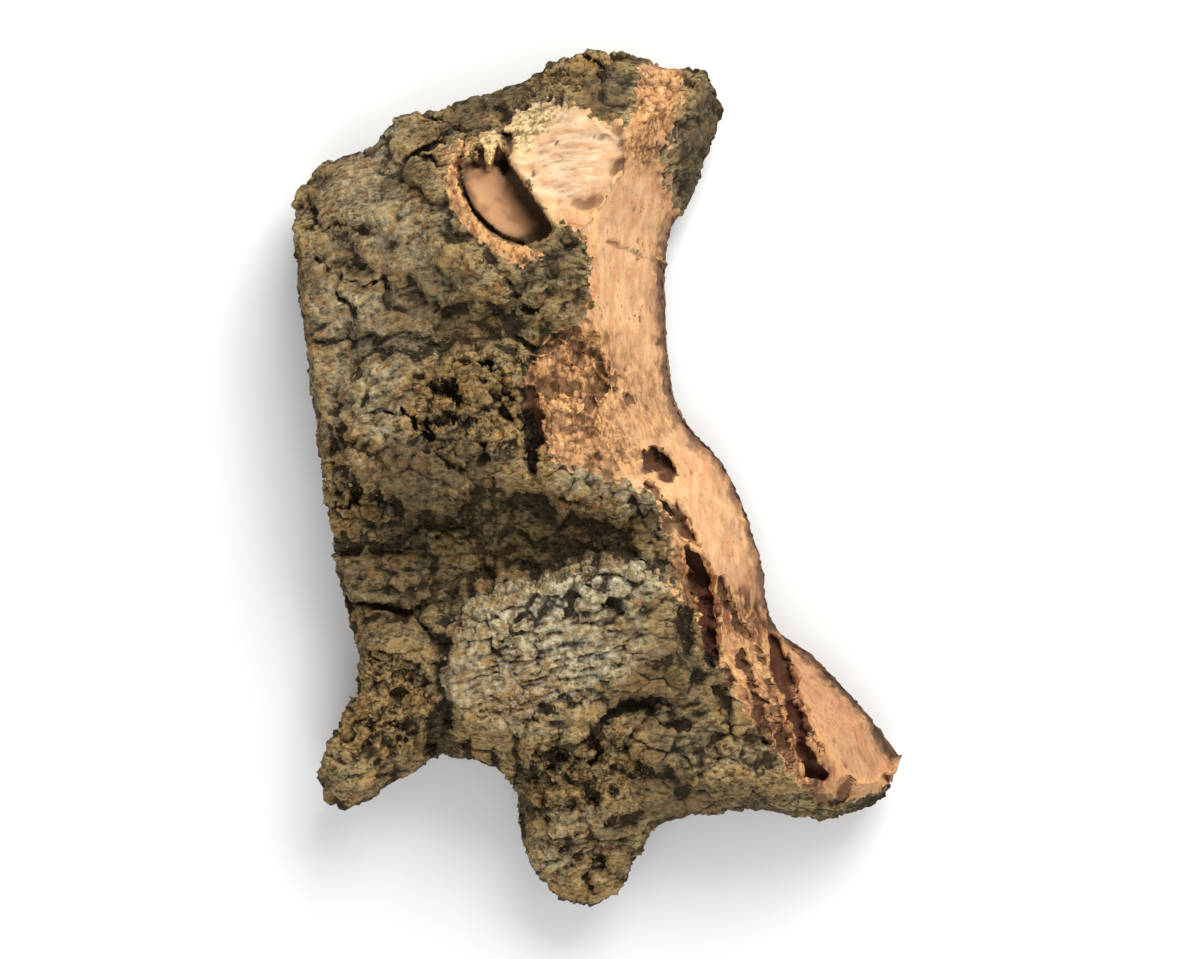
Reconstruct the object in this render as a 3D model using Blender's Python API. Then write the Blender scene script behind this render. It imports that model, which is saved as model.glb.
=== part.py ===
"""Cork bark slab: one grown piece of virgin cork bark, laid down with its outer face up.

The plan is a patch stretched between four edge curves. The outer face is raised over that
plan by formulas: weathered plates parted by a deep furrow, an oval pocket, cracks, and a
long fresh break that falls away down the right side. The sides follow the cork's layers,
and the underside is a shallow ridged belly with three flat places that the slab rests on.

Lengths are in millimetres until the mesh is made, which is in metres. X runs across the
slab, Y along it, and Z up from the surface that it lies on.
"""

import math
from collections import namedtuple

import bmesh
import bpy
import numpy as np

MM = 0.001
NAME = "cork_bark_slab"

# Grid steps across and along each face of the slab, and the rows of its side. The mesh is
# then thinned to this many triangles, which gather where the shape turns.
STEPS = (144, 198)
SIDE_ROWS = 8
TRIANGLES = 11400

# The plan's four edges. Each runs between two corners, with its height at the very edge
# (foot) and how many millimetres the face climbs for each one inwards (rise).
Edge = namedtuple("Edge", "points foot rise")
LEFT = Edge(
    ((-39.5, -41.5), (-36.8, -34.5), (-33.6, -29.5), (-33.4, -23.5), (-36.2, -13.5),
     (-38.7, 4.8), (-41.5, 25.9), (-42.4, 38.5)),
    14.5, 6.0,
)
TOP = Edge(
    ((-42.4, 38.5), (-40.2, 42.0), (-37.0, 44.2), (-31.8, 46.2), (-28.5, 49.6), (-18.1, 52.6),
     (-11.6, 55.0), (-6.0, 58.2), (1.0, 59.6), (9.7, 57.8), (14.8, 56.4), (17.3, 51.5)),
    9.0, 1.7,
)
RIGHT = Edge(
    ((42.4, -38.8), (37.5, -31.8), (30.1, -24.2), (24.6, -19.5), (22.8, -10.5), (18.2, 1.5),
     (12.0, 8.8), (10.0, 16.5), (9.7, 30.7), (12.3, 38.5), (15.2, 45.5), (17.3, 51.5)),
    5.0, 1.9,
)
BOTTOM = Edge(
    ((-39.5, -41.5), (-37.5, -44.8), (-33.6, -45.2), (-27.7, -41.6), (-22.5, -38.6),
     (-16.0, -39.6), (-11.6, -43.0), (-10.6, -51.5), (-6.6, -57.2), (-2.2, -59.6), (2.2, -57.0),
     (5.6, -51.0), (9.4, -47.6), (20.0, -46.2), (32.0, -46.8), (39.0, -44.4), (42.4, -38.8)),
    7.5, 3.0,
)
EDGE_SOFT = 2.0
BREAK_SOFT = 0.7
BREAK_RELIEF = 0.8
BREAK_BUMP = 11.0

# The wedge at the lower right stands out from the break as a low dome.
WEDGE_MIDDLE = (33.5, -35.0)
WEDGE_HALF = (10.0, 6.0)
WEDGE_TURN = -45
WEDGE_BULGE = 1.8
EDGES = (LEFT, TOP, RIGHT, BOTTOM)
HALF_WIDTH = 42.4
HALF_LENGTH = 59.6

# The bed that the plates stand on, which shows as the floor of the furrow.
BED_HEIGHT = 9.5
BED_CROWN = 2.5
BED_RELIEF = 1.0
BED_BUMP = 14.0

# Each plate: its middle, half its width and length, its turn in degrees, its height, how
# much it climbs towards +X and +Y, and how steeply its flanks fall.
Plate = namedtuple("Plate", "middle half turn top climb flank")
PLATES = (
    Plate((-31.0, 26.0), (12.5, 19.5), 10, 20.5, (0.10, -0.02), 2.0),
    Plate((-17.5, 39.5), (16.5, 14.5), -28, 24.5, (0.03, -0.05), 2.2),
    Plate((0.5, 40.0), (9.0, 19.0), -10, 25.5, (-0.02, 0.0), 1.8),
    Plate((-7.5, 23.0), (13.5, 11.0), -12, 23.0, (0.05, 0.05), 2.0),
    Plate((-22.0, 7.5), (12.0, 9.0), 10, 27.0, (0.03, 0.02), 3.6),
    Plate((-1.0, 4.0), (11.5, 7.4), -10, 26.5, (-0.05, 0.03), 4.2),
    Plate((13.0, -6.0), (7.5, 9.5), 16, 20.5, (-0.10, 0.0), 3.2),
    Plate((-1.0, -6.4), (11.5, 4.4), -2, 16.5, (0.12, 0.0), 1.4),
    Plate((-34.0, 1.0), (6.0, 7.5), 0, 18.5, (0.05, 0.05), 2.2),
    Plate((-28.0, -14.0), (8.5, 6.0), 12, 13.0, (0.0, 0.0), 1.6),
    Plate((-4.2, -24.8), (15.8, 10.8), 16, 26.5, (0.02, 0.16), 4.5),
    Plate((-26.5, -26.5), (8.5, 5.5), 24, 20.5, (0.05, 0.12), 3.0),
    Plate((-33.0, -37.5), (5.6, 8.2), -22, 17.0, (0.0, 0.15), 2.4),
    Plate((18.5, -31.5), (14.0, 12.0), -38, 23.0, (-0.06, 0.08), 2.6),
    Plate((3.8, -39.5), (4.6, 6.0), 18, 20.0, (0.0, 0.1), 3.0),
    Plate((-3.2, -43.6), (3.6, 4.6), 5, 16.5, (0.0, 0.1), 3.0),
    Plate((-2.6, -51.5), (9.0, 8.0), 0, 11.5, (0.0, 0.12), 1.6),
    Plate((-9.0, -47.0), (2.6, 4.6), 10, 14.0, (0.0, 0.0), 2.4),
    Plate((30.0, -37.5), (12.0, 9.0), -40, 20.5, (-0.1, 0.05), 2.0),
)
PLATE_SQUARENESS = 3
PLATE_EDGE_FALL = 0.8
PLATE_JOIN = 0.9
PLATE_WANDER = 1.5
PLATE_WANDER_SIZE = 9.0

# The plates are cut into blocks, each a little higher or lower than the next, on bumps.
BLOCK_SIZE = 8.5
BLOCK_STRETCH = 0.72
BLOCK_SCATTER = 0.9
BLOCK_WANDER = 2.6
BLOCK_WANDER_SIZE = 7.0
BLOCK_STEP = 2.4
BLOCK_GROOVE = 1.8
BLOCK_EDGE = 1.6
JOINT_PATCH = 13.0
FACE_RELIEF = 0.9
FACE_BUMP = 8.0

# The oval pocket in the upper middle plate: a step down at its rim, then a slope to the
# straight cut edge on its right, with two teeth that hang into it from above. The level is
# that of the plate, which the bowl's depth is taken from.
POCKET_MIDDLE = (-12.4, 39.3)
POCKET_HALF = (7.8, 5.7)
POCKET_TURN = -55
POCKET_STEP = 1.5
POCKET_DEPTH = 5.4
POCKET_LEVEL = 24.2
POCKET_RIM = 0.05
CUT_EDGE = ((-12.6, 44.4), (-6.8, 35.6))
CUT_WIDTH = 0.5
Tooth = namedtuple("Tooth", "root tip half end")
TEETH = (
    Tooth((-15.0, 48.4), (-15.3, 42.6), 1.7, 0.2),
    Tooth((-19.6, 47.6), (-18.3, 43.4), 2.6, 1.6),
)
TOOTH_FILL = 0.85
TOOTH_EDGE = (-0.15, 0.35)

# The pocket's surroundings are calmer than the rest of the bark, and so is the torn scar
# beside it: the share of the low relief that goes there, and where.
LIP_CALM = 0.7
LIP_REACH = (1.2, 1.7)
Scar = namedtuple("Scar", "middle half turn calm")
SCARS = (
    Scar((-6.4, 45.2), (7.6, 8.6), 35, 0.75),
    Scar((0.4, 46.4), (4.0, 2.6), -20, 0.6),
)
SCAR_EDGE = (0.7, 1.25)

# Cracks and pits: their route, their width and their depth. A crack's floor takes up the
# first share of its half width, and its walls are over at the second. All of them wander,
# and open and close along their length.
Crack = namedtuple("Crack", "route width depth")
CRACK_FLOOR = 0.2
CRACK_LIP = 1.2
CRACK_WANDER = 0.7
CRACK_WANDER_SIZE = 2.0
OPENING_MIDDLE = 0.75
OPENING_SWING = 0.8
OPENING_PATCH = 3.6
OPENING_LEAST = 0.55
CRACKS = (
    Crack(((24.4, -22.5), (26.6, -31.0), (29.4, -40.5)), 2.0, 3.0),
    Crack(((13.0, -10.5), (14.6, -17.0), (15.6, -25.0)), 2.4, 3.5),
    Crack(((-8.5, -37.8), (-2.0, -35.4), (3.0, -31.4), (8.6, -30.4)), 2.6, 3.0),
    Crack(((7.0, 3.6), (7.8, 2.4), (9.6, 1.4)), 3.2, 4.0),
    Crack(((-22.8, 12.4), (-20.6, 12.2), (-19.0, 11.0)), 3.0, 3.5),
    Crack(((-21.4, -31.5), (-22.6, -35.0), (-21.2, -40.0)), 4.6, 7.0),
    Crack(((-10.2, 11.0), (-9.4, 6.4), (-9.2, 1.6)), 3.0, 3.8),
)

# The sides step in and out with the layers, and draw in towards the underside. Undercut
# and step are shares of the slab's width and length.
UNDERCUT = 0.06
LAYER_STEP = 0.012
LAYER_HEIGHT = 4.4
LAYER_DRIFT = 0.5
LAYER_DRIFT_SIZE = 16.0

# The belly's height, its ridges along the slab, its bumps and its lift at the rim.
BELLY_RISE = 1.3
BELLY_RIDGE = 0.8
BELLY_LEAST = 0.4
BELLY_RELIEF = 0.3
BELLY_BUMP = 7.0
RIDGE_SPACING = 12.5
RIDGE_WANDER = 0.35
RIDGE_WANDER_SIZE = 30.0
RIM_LIFT = 1.6
RIM_LIFT_START = 2.0
RIM_LIFT_END = 12.0

# Where the underside is flat, and how far it takes to be the belly again.
RESTS = ((-17.0, 40.0), (-27.0, -29.0), (26.0, -36.0))
REST_RADIUS = 6.0
REST_FADE = 9.0
REST_WANDER = 1.2
REST_WANDER_SIZE = 9.0
REST_SNAP = 0.02

# How many points the smooth curves are worked out at.
CURVE_FINENESS = 16
EDGE_FINENESS = 400
DISTANCE_FINENESS = 90

BARK_COLOUR = (0.16, 0.115, 0.06, 1.0)
BARK_ROUGHNESS = 0.92


def curve_through(points, count):
    """A smooth curve through the points, given at evenly spaced lengths along it."""
    knots = np.array(points)
    knots = np.vstack([2 * knots[0] - knots[1], knots, 2 * knots[-1] - knots[-2]])
    t = np.linspace(0, 1, CURVE_FINENESS, endpoint=False)[:, None]
    runs = []
    for before, start, end, after in zip(knots, knots[1:], knots[2:], knots[3:]):
        square = 2 * before - 5 * start + 4 * end - after
        cube = 3 * (start - end) + after - before
        runs.append(start + 0.5 * t * (end - before + t * (square + t * cube)))
    line = np.vstack(runs + [knots[-2:-1]])
    steps = np.linalg.norm(np.diff(line, axis=0), axis=1)
    length = np.concatenate([[0], np.cumsum(steps)])
    at = np.linspace(0, length[-1], count)
    return np.column_stack([np.interp(at, length, line[:, 0]), np.interp(at, length, line[:, 1])])


def along_edge(edge, share):
    """Places on an edge, at these shares of its length."""
    line = curve_through(edge.points, EDGE_FINENESS)
    at = np.linspace(0, 1, EDGE_FINENESS)
    return np.column_stack([np.interp(share, at, line[:, 0]), np.interp(share, at, line[:, 1])])


def plan_at(u, v):
    """The plan: its left and right edges blended across, its low and high ones blended
    along, less the blend of its four corners, which both of those hold."""
    left, right = along_edge(LEFT, v), along_edge(RIGHT, v)
    low, high = along_edge(BOTTOM, u), along_edge(TOP, u)
    u, v = u[:, None], v[:, None]
    corners = [np.array(edge.points[end]) for end in (0, -1) for edge in (LEFT, RIGHT)]
    near_end = (1 - u) * corners[0] + u * corners[1]
    far_end = (1 - u) * corners[2] + u * corners[3]
    plan = (1 - u) * left + u * right + (1 - v) * (low - near_end) + v * (high - far_end)
    return plan[:, 0], plan[:, 1]


def scrambled(numbers):
    """Whole numbers turned into others that look random, the same each time."""
    mixed = numbers & 0xFFFFFFFF
    mixed = (mixed ^ (mixed >> 15)) * 2246822519 & 0xFFFFFFFF
    mixed = (mixed ^ (mixed >> 13)) * 3266489917 & 0xFFFFFFFF
    return mixed ^ (mixed >> 16)


def noise(x, y, size, seed):
    """Smooth bumps about as wide as size, from -1 to 1: a slope at each corner of a
    square lattice, blended by the fifth-power fade between the corners."""
    cell_x, cell_y = np.floor(x / size).astype(np.int64), np.floor(y / size).astype(np.int64)
    part_x, part_y = x / size - cell_x, y / size - cell_y
    fade_x = part_x ** 3 * (part_x * (part_x * 6 - 15) + 10)
    fade_y = part_y ** 3 * (part_y * (part_y * 6 - 15) + 10)
    total = 0
    for right in (0, 1):
        for up in (0, 1):
            key = (cell_x + right) * 73856093 ^ (cell_y + up) * 19349663 ^ seed * 83492791
            angle = scrambled(key) * (2 * math.pi / 2 ** 32)
            slope = np.cos(angle) * (part_x - right) + np.sin(angle) * (part_y - up)
            weight = (fade_x if right else 1 - fade_x) * (fade_y if up else 1 - fade_y)
            total = total + weight * slope
    return total * 1.5


def rough(x, y, size, seed):
    """Noise with a half-size layer on it at half strength."""
    return noise(x, y, size, seed) + 0.5 * noise(x, y, size / 2, seed + 1)


def smooth_max(a, b, soft):
    """The greater of two heights, rounded where they cross."""
    share = np.clip(0.5 + 0.5 * (a - b) / soft, 0, 1)
    return b + (a - b) * share + soft * share * (1 - share)


def smooth_min(a, b, soft):
    """The lesser of two heights, rounded where they cross."""
    return -smooth_max(-a, -b, soft)


def smooth_step(value, start, end):
    """0 before start, 1 after end, and an even S between them."""
    t = np.clip((value - start) / (end - start), 0, 1)
    return t * t * (3 - 2 * t)


def turned(x, y, middle, degrees):
    """Places measured along and across a thing that is turned about its middle."""
    c, s = math.cos(math.radians(degrees)), math.sin(math.radians(degrees))
    away_x, away_y = x - middle[0], y - middle[1]
    return away_x * c + away_y * s, away_y * c - away_x * s


def distance_to(x, y, points):
    """How far each place is from the curve through the points, run by run along it."""
    nearest = np.full(len(x), np.inf)
    line = curve_through(points, DISTANCE_FINENESS)
    for (start_x, start_y), (run_x, run_y) in zip(line, np.diff(line, axis=0)):
        share = ((x - start_x) * run_x + (y - start_y) * run_y) / (run_x ** 2 + run_y ** 2)
        share = np.clip(share, 0, 1)
        away = np.hypot(x - start_x - share * run_x, y - start_y - share * run_y)
        nearest = np.minimum(nearest, away)
    return nearest


def blocks(x, y, size, seed):
    """For each place, how far it is inside its own block, 0 on the joint between two, and
    that block's own number from 0 to 1. A block is the ground nearest to one of the points
    that are scattered one to a square."""
    square_x, square_y = np.floor(x / size).astype(np.int64), np.floor(y / size).astype(np.int64)
    nearest = np.full(len(x), np.inf)
    second = np.full(len(x), np.inf)
    own = np.zeros(len(x))
    for step_x in (-1, 0, 1):
        for step_y in (-1, 0, 1):
            near_x, near_y = square_x + step_x, square_y + step_y
            drawn = scrambled(near_x * 73856093 ^ near_y * 19349663 ^ seed * 83492791)
            point_x = near_x + 0.5 + BLOCK_SCATTER * ((drawn & 1023) / 1023 - 0.5)
            point_y = near_y + 0.5 + BLOCK_SCATTER * ((drawn >> 10 & 1023) / 1023 - 0.5)
            away = np.hypot(x / size - point_x, y / size - point_y)
            second = np.minimum(second, np.maximum(nearest, away))
            own = np.where(away < nearest, (drawn >> 20 & 1023) / 1023, own)
            nearest = np.minimum(nearest, away)
    return (second - nearest) * size, own


def plate_height(x, y, plate):
    """A plate's top: a rounded block that leans, and falls away beyond its edge."""
    along, across = turned(x, y, plate.middle, plate.turn)
    square = PLATE_SQUARENESS
    share = np.abs(along / plate.half[0]) ** square + np.abs(across / plate.half[1]) ** square
    share = share ** (1 / square)
    beyond = np.maximum(share - 1, 0) * min(plate.half)
    lean = plate.climb[0] * (x - plate.middle[0]) + plate.climb[1] * (y - plate.middle[1])
    rounding = PLATE_EDGE_FALL * np.minimum(share, 1) ** square
    return plate.top + lean - rounding - plate.flank * beyond


def block_relief(x, y):
    """The bark's low relief: blocks a little higher or lower than each other, wider than
    they are long, with joints that come and go, on soft bumps."""
    moved_x = x * BLOCK_STRETCH + BLOCK_WANDER * rough(x, y, BLOCK_WANDER_SIZE, 101)
    moved_y = y + BLOCK_WANDER * rough(x, y, BLOCK_WANDER_SIZE, 111)
    inside, own = blocks(moved_x, moved_y, BLOCK_SIZE, 91)
    clear = smooth_step(inside, 0, BLOCK_EDGE)
    open_share = np.clip(0.5 + rough(x, y, JOINT_PATCH, 121), 0, 1)
    step = BLOCK_STEP * (own - 0.5) * clear
    groove = BLOCK_GROOVE * open_share * (1 - clear)
    return step - groove + FACE_RELIEF * rough(x, y, FACE_BUMP, 41)


def tooth_share(x, y, tooth):
    """1 on a tooth and 0 off it: it narrows evenly from its root to its blunt tip."""
    way = np.subtract(tooth.tip, tooth.root)
    length = float(np.hypot(*way))
    along = ((x - tooth.root[0]) * way[0] + (y - tooth.root[1]) * way[1]) / length
    across = np.abs((x - tooth.root[0]) * way[1] - (y - tooth.root[1]) * way[0]) / length
    room = tooth.half - (tooth.half - tooth.end) * along / length - across
    room = np.minimum(room, length - along)
    return smooth_step(room, *TOOTH_EDGE) * (along > -tooth.half)


def right_of_cut(x, y):
    """How far each place is to the right of the cut edge, walked down from its first point."""
    way = np.subtract(CUT_EDGE[1], CUT_EDGE[0])
    right = (x - CUT_EDGE[0][0]) * way[1] - (y - CUT_EDGE[0][1]) * way[0]
    return right / float(np.hypot(*way))


def pocket_bowl(x, y):
    """Depth of the oval pocket below its level, and the share of its half size that each
    place is from its middle."""
    along, across = turned(x, y, POCKET_MIDDLE, POCKET_TURN)
    share = np.hypot(along / POCKET_HALF[0], across / POCKET_HALF[1])
    slope = smooth_step(across, -POCKET_HALF[1], POCKET_HALF[1] / 2)
    bowl = POCKET_STEP + (POCKET_DEPTH - POCKET_STEP) * slope
    bowl = bowl * (1 - smooth_step(share, 1 - POCKET_RIM, 1 + POCKET_RIM))
    bowl = bowl * smooth_step(right_of_cut(x, y), 0, CUT_WIDTH)
    for tooth in TEETH:
        bowl = bowl * (1 - TOOTH_FILL * tooth_share(x, y, tooth))
    return bowl, share


def calm_share(x, y, pocket_share):
    """How much of the low relief is left out: most of it by the pocket and on the scars."""
    calm = LIP_CALM * (1 - smooth_step(pocket_share, *LIP_REACH))
    for scar in SCARS:
        along, across = turned(x, y, scar.middle, scar.turn)
        share = np.hypot(along / scar.half[0], across / scar.half[1])
        calm = np.maximum(calm, scar.calm * (1 - smooth_step(share, *SCAR_EDGE)))
    return calm


def cracks_depth(x, y):
    """How deep the cracks cut. One that closes is shallower and narrower there."""
    moved_x = x + CRACK_WANDER * rough(x, y, CRACK_WANDER_SIZE, 171)
    moved_y = y + CRACK_WANDER * rough(x, y, CRACK_WANDER_SIZE, 181)
    opening = OPENING_MIDDLE + OPENING_SWING * noise(moved_x, moved_y, OPENING_PATCH, 191)
    opening = np.clip(opening, OPENING_LEAST, 1)
    depth = 0
    for crack in CRACKS:
        half_width = crack.width / 2 * (1 + opening) / 2
        near = distance_to(moved_x, moved_y, crack.route) / half_width
        depth = depth + crack.depth * opening * (1 - smooth_step(near, CRACK_FLOOR, CRACK_LIP))
    return depth


def wedge_bulge(x, y):
    """The dome that the wedge adds to the break."""
    along, across = turned(x, y, WEDGE_MIDDLE, WEDGE_TURN)
    share = np.hypot(along / WEDGE_HALF[0], across / WEDGE_HALF[1])
    return WEDGE_BULGE * (1 - smooth_step(share, 0, 1))


def outer_height(x, y):
    """Height of the outer face above the surface that the slab lies on."""
    crown = 1 - (x / HALF_WIDTH) ** 2 - (y / HALF_LENGTH) ** 2
    height = BED_HEIGHT + BED_CROWN * crown + BED_RELIEF * rough(x, y, BED_BUMP, 31)
    moved_x = x + PLATE_WANDER * rough(x, y, PLATE_WANDER_SIZE, 11)
    moved_y = y + PLATE_WANDER * rough(x, y, PLATE_WANDER_SIZE, 21)
    for plate in PLATES:
        height = smooth_max(height, plate_height(moved_x, moved_y, plate), PLATE_JOIN)
    for edge in (LEFT, TOP, BOTTOM):
        climb = edge.foot + edge.rise * distance_to(x, y, edge.points)
        height = smooth_min(height, climb, EDGE_SOFT)
    bowl, share = pocket_bowl(x, y)
    height = height + (1 - calm_share(x, y, share)) * block_relief(x, y)
    level = smooth_step(bowl, POCKET_STEP / 2, POCKET_STEP)
    height = height * (1 - level) + POCKET_LEVEL * level - bowl
    fresh = RIGHT.foot + RIGHT.rise * distance_to(x, y, RIGHT.points)
    fresh = fresh + BREAK_RELIEF * rough(x, y, BREAK_BUMP, 51) + wedge_bulge(x, y)
    return smooth_min(height, fresh, BREAK_SOFT) - cracks_depth(x, y)


def under_height(x, y):
    """Height of the underside: a shallow ridged belly, lifted at the rim, flat where it rests."""
    wander = RIDGE_WANDER * rough(x, y, RIDGE_WANDER_SIZE, 61)
    ridge = np.sin(2 * math.pi * (x / RIDGE_SPACING + wander))
    rim = np.minimum.reduce([distance_to(x, y, edge.points) for edge in EDGES])
    lift = RIM_LIFT * (1 - smooth_step(rim, RIM_LIFT_START, RIM_LIFT_END))
    height = np.maximum(BELLY_RISE + BELLY_RIDGE * ridge + lift, BELLY_LEAST)
    height = height + BELLY_RELIEF * (1 + rough(x, y, BELLY_BUMP, 71))
    for middle in RESTS:
        away = np.hypot(x - middle[0], y - middle[1])
        away = away + REST_WANDER * noise(x, y, REST_WANDER_SIZE, 131)
        height = height * smooth_step(away, REST_RADIUS, REST_RADIUS + REST_FADE)
    return height


def slab_points(u, v, level):
    """Places on the slab: level 0 is the outer face and 1 the underside. Between them the
    side runs down from one rim to the other, drawn in by the undercut and by its layers."""
    outer = outer_height(*plan_at(u, v))
    under_u, under_v = 0.5 + (u - 0.5) * (1 - UNDERCUT), 0.5 + (v - 0.5) * (1 - UNDERCUT)
    under = under_height(*plan_at(under_u, under_v))
    z = outer + (under - outer) * level
    x, y = plan_at(u, v)
    drift = LAYER_DRIFT * noise(x, y, LAYER_DRIFT_SIZE, 81)
    layer = np.sin(2 * math.pi * (z / LAYER_HEIGHT + drift))
    inset = UNDERCUT * level + LAYER_STEP * (1 + layer) * level * (1 - level) * 4
    x, y = plan_at(0.5 + (u - 0.5) * (1 - inset), 0.5 + (v - 0.5) * (1 - inset))
    return np.column_stack([x, y, z])


def shares_of(bm):
    """The three numbers kept for each vertex: its shares across, along and down the slab."""
    layers = bm.verts.layers.float
    return [layers.get(name) or layers.new(name) for name in ("across", "along", "level")]


def rim_edges(bm, verts):
    """The edges among these vertices that have one face."""
    inside = set(verts)
    return [edge for edge in bm.edges if edge.is_boundary and inside.issuperset(edge.verts)]


def add_face_grid(bm, level):
    """One face of the slab as a flat grid, which keeps its shares across and along."""
    made = bmesh.ops.create_grid(bm, x_segments=STEPS[0], y_segments=STEPS[1], size=0.5)
    across, along, depth = shares_of(bm)
    for vert in made["verts"]:
        vert[across] = vert.co.x + 0.5
        vert[along] = vert.co.y + 0.5
        vert[depth] = level
    return made["verts"]


def add_sides(bm, outer):
    """Rows of faces drawn down from the outer rim. It gives back the edges of the last."""
    depth = shares_of(bm)[2]
    rim = rim_edges(bm, outer)
    for row in range(1, SIDE_ROWS + 1):
        made = bmesh.ops.extrude_edge_only(bm, edges=rim)["geom"]
        rim = [item for item in made if isinstance(item, bmesh.types.BMEdge)]
        for item in made:
            if isinstance(item, bmesh.types.BMVert):
                item[depth] = row / (SIDE_ROWS + 1)
    return rim


def full_mesh():
    """The slab's mesh: both faces as grids, joined by the sides, then raised by formula."""
    bm = bmesh.new()
    shares_of(bm)
    outer = add_face_grid(bm, 0.0)
    under = add_face_grid(bm, 1.0)
    lowest = add_sides(bm, outer)
    layers = shares_of(bm)
    numbers = np.array([[vert[layer] for layer in layers] for vert in bm.verts])
    for vert, point in zip(bm.verts, slab_points(*numbers.T) * MM):
        vert.co = point
    bmesh.ops.bridge_loops(bm, edges=lowest + rim_edges(bm, under))
    bmesh.ops.triangulate(bm, faces=[face for face in bm.faces if len(face.verts) > 3])
    bmesh.ops.recalc_face_normals(bm, faces=bm.faces)
    mesh = bpy.data.meshes.new(NAME + "_full")
    bm.to_mesh(mesh)
    bm.free()
    return mesh


def thinned(mesh):
    """A copy of the mesh with fewer triangles, over its origin: the middle of its box in
    X and Y, and its lowest place in Z."""
    holder = bpy.data.objects.new(mesh.name, mesh)
    bpy.context.scene.collection.objects.link(holder)
    thin = holder.modifiers.new("thin", "DECIMATE")
    thin.ratio = TRIANGLES / len(mesh.polygons)
    thin.use_collapse_triangulate = True
    ready = holder.evaluated_get(bpy.context.evaluated_depsgraph_get())
    result = bpy.data.meshes.new_from_object(ready)
    result.name = NAME
    bpy.data.objects.remove(holder)
    points = np.empty(len(result.vertices) * 3, np.float32)
    result.vertices.foreach_get("co", points)
    points = points.reshape(-1, 3)
    low, high = points.min(axis=0), points.max(axis=0)
    points -= [(low[0] + high[0]) / 2, (low[1] + high[1]) / 2, 0]
    points[points[:, 2] < REST_SNAP * MM, 2] = 0
    result.vertices.foreach_set("co", points.ravel())
    result.shade_smooth()
    return result


def bark_material():
    """Weathered brown bark, quite without shine."""
    material = bpy.data.materials.new("cork_bark")
    material.use_nodes = True
    shader = material.node_tree.nodes["Principled BSDF"]
    shader.inputs["Base Color"].default_value = BARK_COLOUR
    shader.inputs["Roughness"].default_value = BARK_ROUGHNESS
    shader.inputs["Metallic"].default_value = 0.0
    return material


def main():
    for obj in list(bpy.data.objects):
        bpy.data.objects.remove(obj)
    mesh = thinned(full_mesh())
    mesh.materials.append(bark_material())
    slab = bpy.data.objects.new(NAME, mesh)
    bpy.context.scene.collection.objects.link(slab)


main()
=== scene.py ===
# %% [markdown]
# # A slab of virgin cork bark
# The real thing is a hand-sized piece stripped from an old cork oak. Its outer face is a crust
# of weathered plates, grey on the crests and golden in the crumbly hollows, with one deep
# furrow across it. Down one side the slab was broken by hand, and the fresh cork shows there
# in pale orange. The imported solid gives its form. These cells keep that form and give it the
# skin: crumbs, fibres, pits and cracks as real mesh, and a finish that follows them.
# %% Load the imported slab
import math
from collections import namedtuple

import bpy
import numpy as np
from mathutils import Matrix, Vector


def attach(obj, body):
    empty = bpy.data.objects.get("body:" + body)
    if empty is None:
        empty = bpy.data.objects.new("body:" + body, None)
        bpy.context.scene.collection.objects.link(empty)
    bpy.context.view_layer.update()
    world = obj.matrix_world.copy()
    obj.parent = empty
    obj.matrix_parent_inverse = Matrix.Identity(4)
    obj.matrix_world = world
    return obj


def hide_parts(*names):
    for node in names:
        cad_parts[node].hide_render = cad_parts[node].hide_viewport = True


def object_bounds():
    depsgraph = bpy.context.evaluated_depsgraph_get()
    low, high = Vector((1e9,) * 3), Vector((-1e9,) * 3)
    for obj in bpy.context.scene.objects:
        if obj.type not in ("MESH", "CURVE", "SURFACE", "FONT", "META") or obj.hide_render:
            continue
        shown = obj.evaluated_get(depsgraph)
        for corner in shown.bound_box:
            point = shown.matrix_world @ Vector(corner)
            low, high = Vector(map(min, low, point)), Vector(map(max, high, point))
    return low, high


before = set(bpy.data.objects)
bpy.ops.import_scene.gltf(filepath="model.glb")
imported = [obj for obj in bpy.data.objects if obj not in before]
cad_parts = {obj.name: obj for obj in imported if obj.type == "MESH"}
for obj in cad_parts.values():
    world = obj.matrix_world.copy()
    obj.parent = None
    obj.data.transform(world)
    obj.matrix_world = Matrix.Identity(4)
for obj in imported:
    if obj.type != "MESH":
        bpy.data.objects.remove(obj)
cad_box = [[float(number) for number in corner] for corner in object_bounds()]
NODE = "cork_bark_slab"
MM = 0.001
print("packed slab, mm:", [round((high - low) / MM, 1) for low, high in zip(*cad_box)])

# %% [markdown]
# ## The table, the light and the camera
# The photograph looks straight at the outer face, so the slab lies on a plain pale table and
# the camera hangs over it. The daylight is soft and comes from the top right of the picture,
# so one wide lamp stands on that side, and two weak ones and the sky fill the rest.
# %% Lamps and sky
def aim(thing, place, target):
    """Put a lamp or camera at a place and turn its -Z axis to the target."""
    way = np.array(target, float) - place
    flat = math.hypot(way[0], way[1])
    thing.location = place
    thing.rotation_euler = (math.atan2(flat, -way[2]), 0, math.atan2(-way[0], way[1]) if flat > 1e-9 else 0)
    bpy.context.scene.collection.objects.link(thing)


def lamp(name, place, size, power, colour):
    """A square soft lamp that shines at the slab."""
    light = bpy.data.lights.new(name, "AREA")
    light.size = size
    light.energy = power
    light.color = colour
    aim(bpy.data.objects.new(name, light), place, (0, 0, 0.01))


lamp("window", (0.18, 0.42, 0.44), 0.42, 4.2, (1.0, 0.985, 0.96))
lamp("side_fill", (0.45, 0.05, 0.45), 0.5, 0.4, (0.95, 0.97, 1.0))
lamp("low_fill", (-0.08, -0.42, 0.42), 0.5, 1.6, (0.97, 0.98, 1.0))

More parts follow.
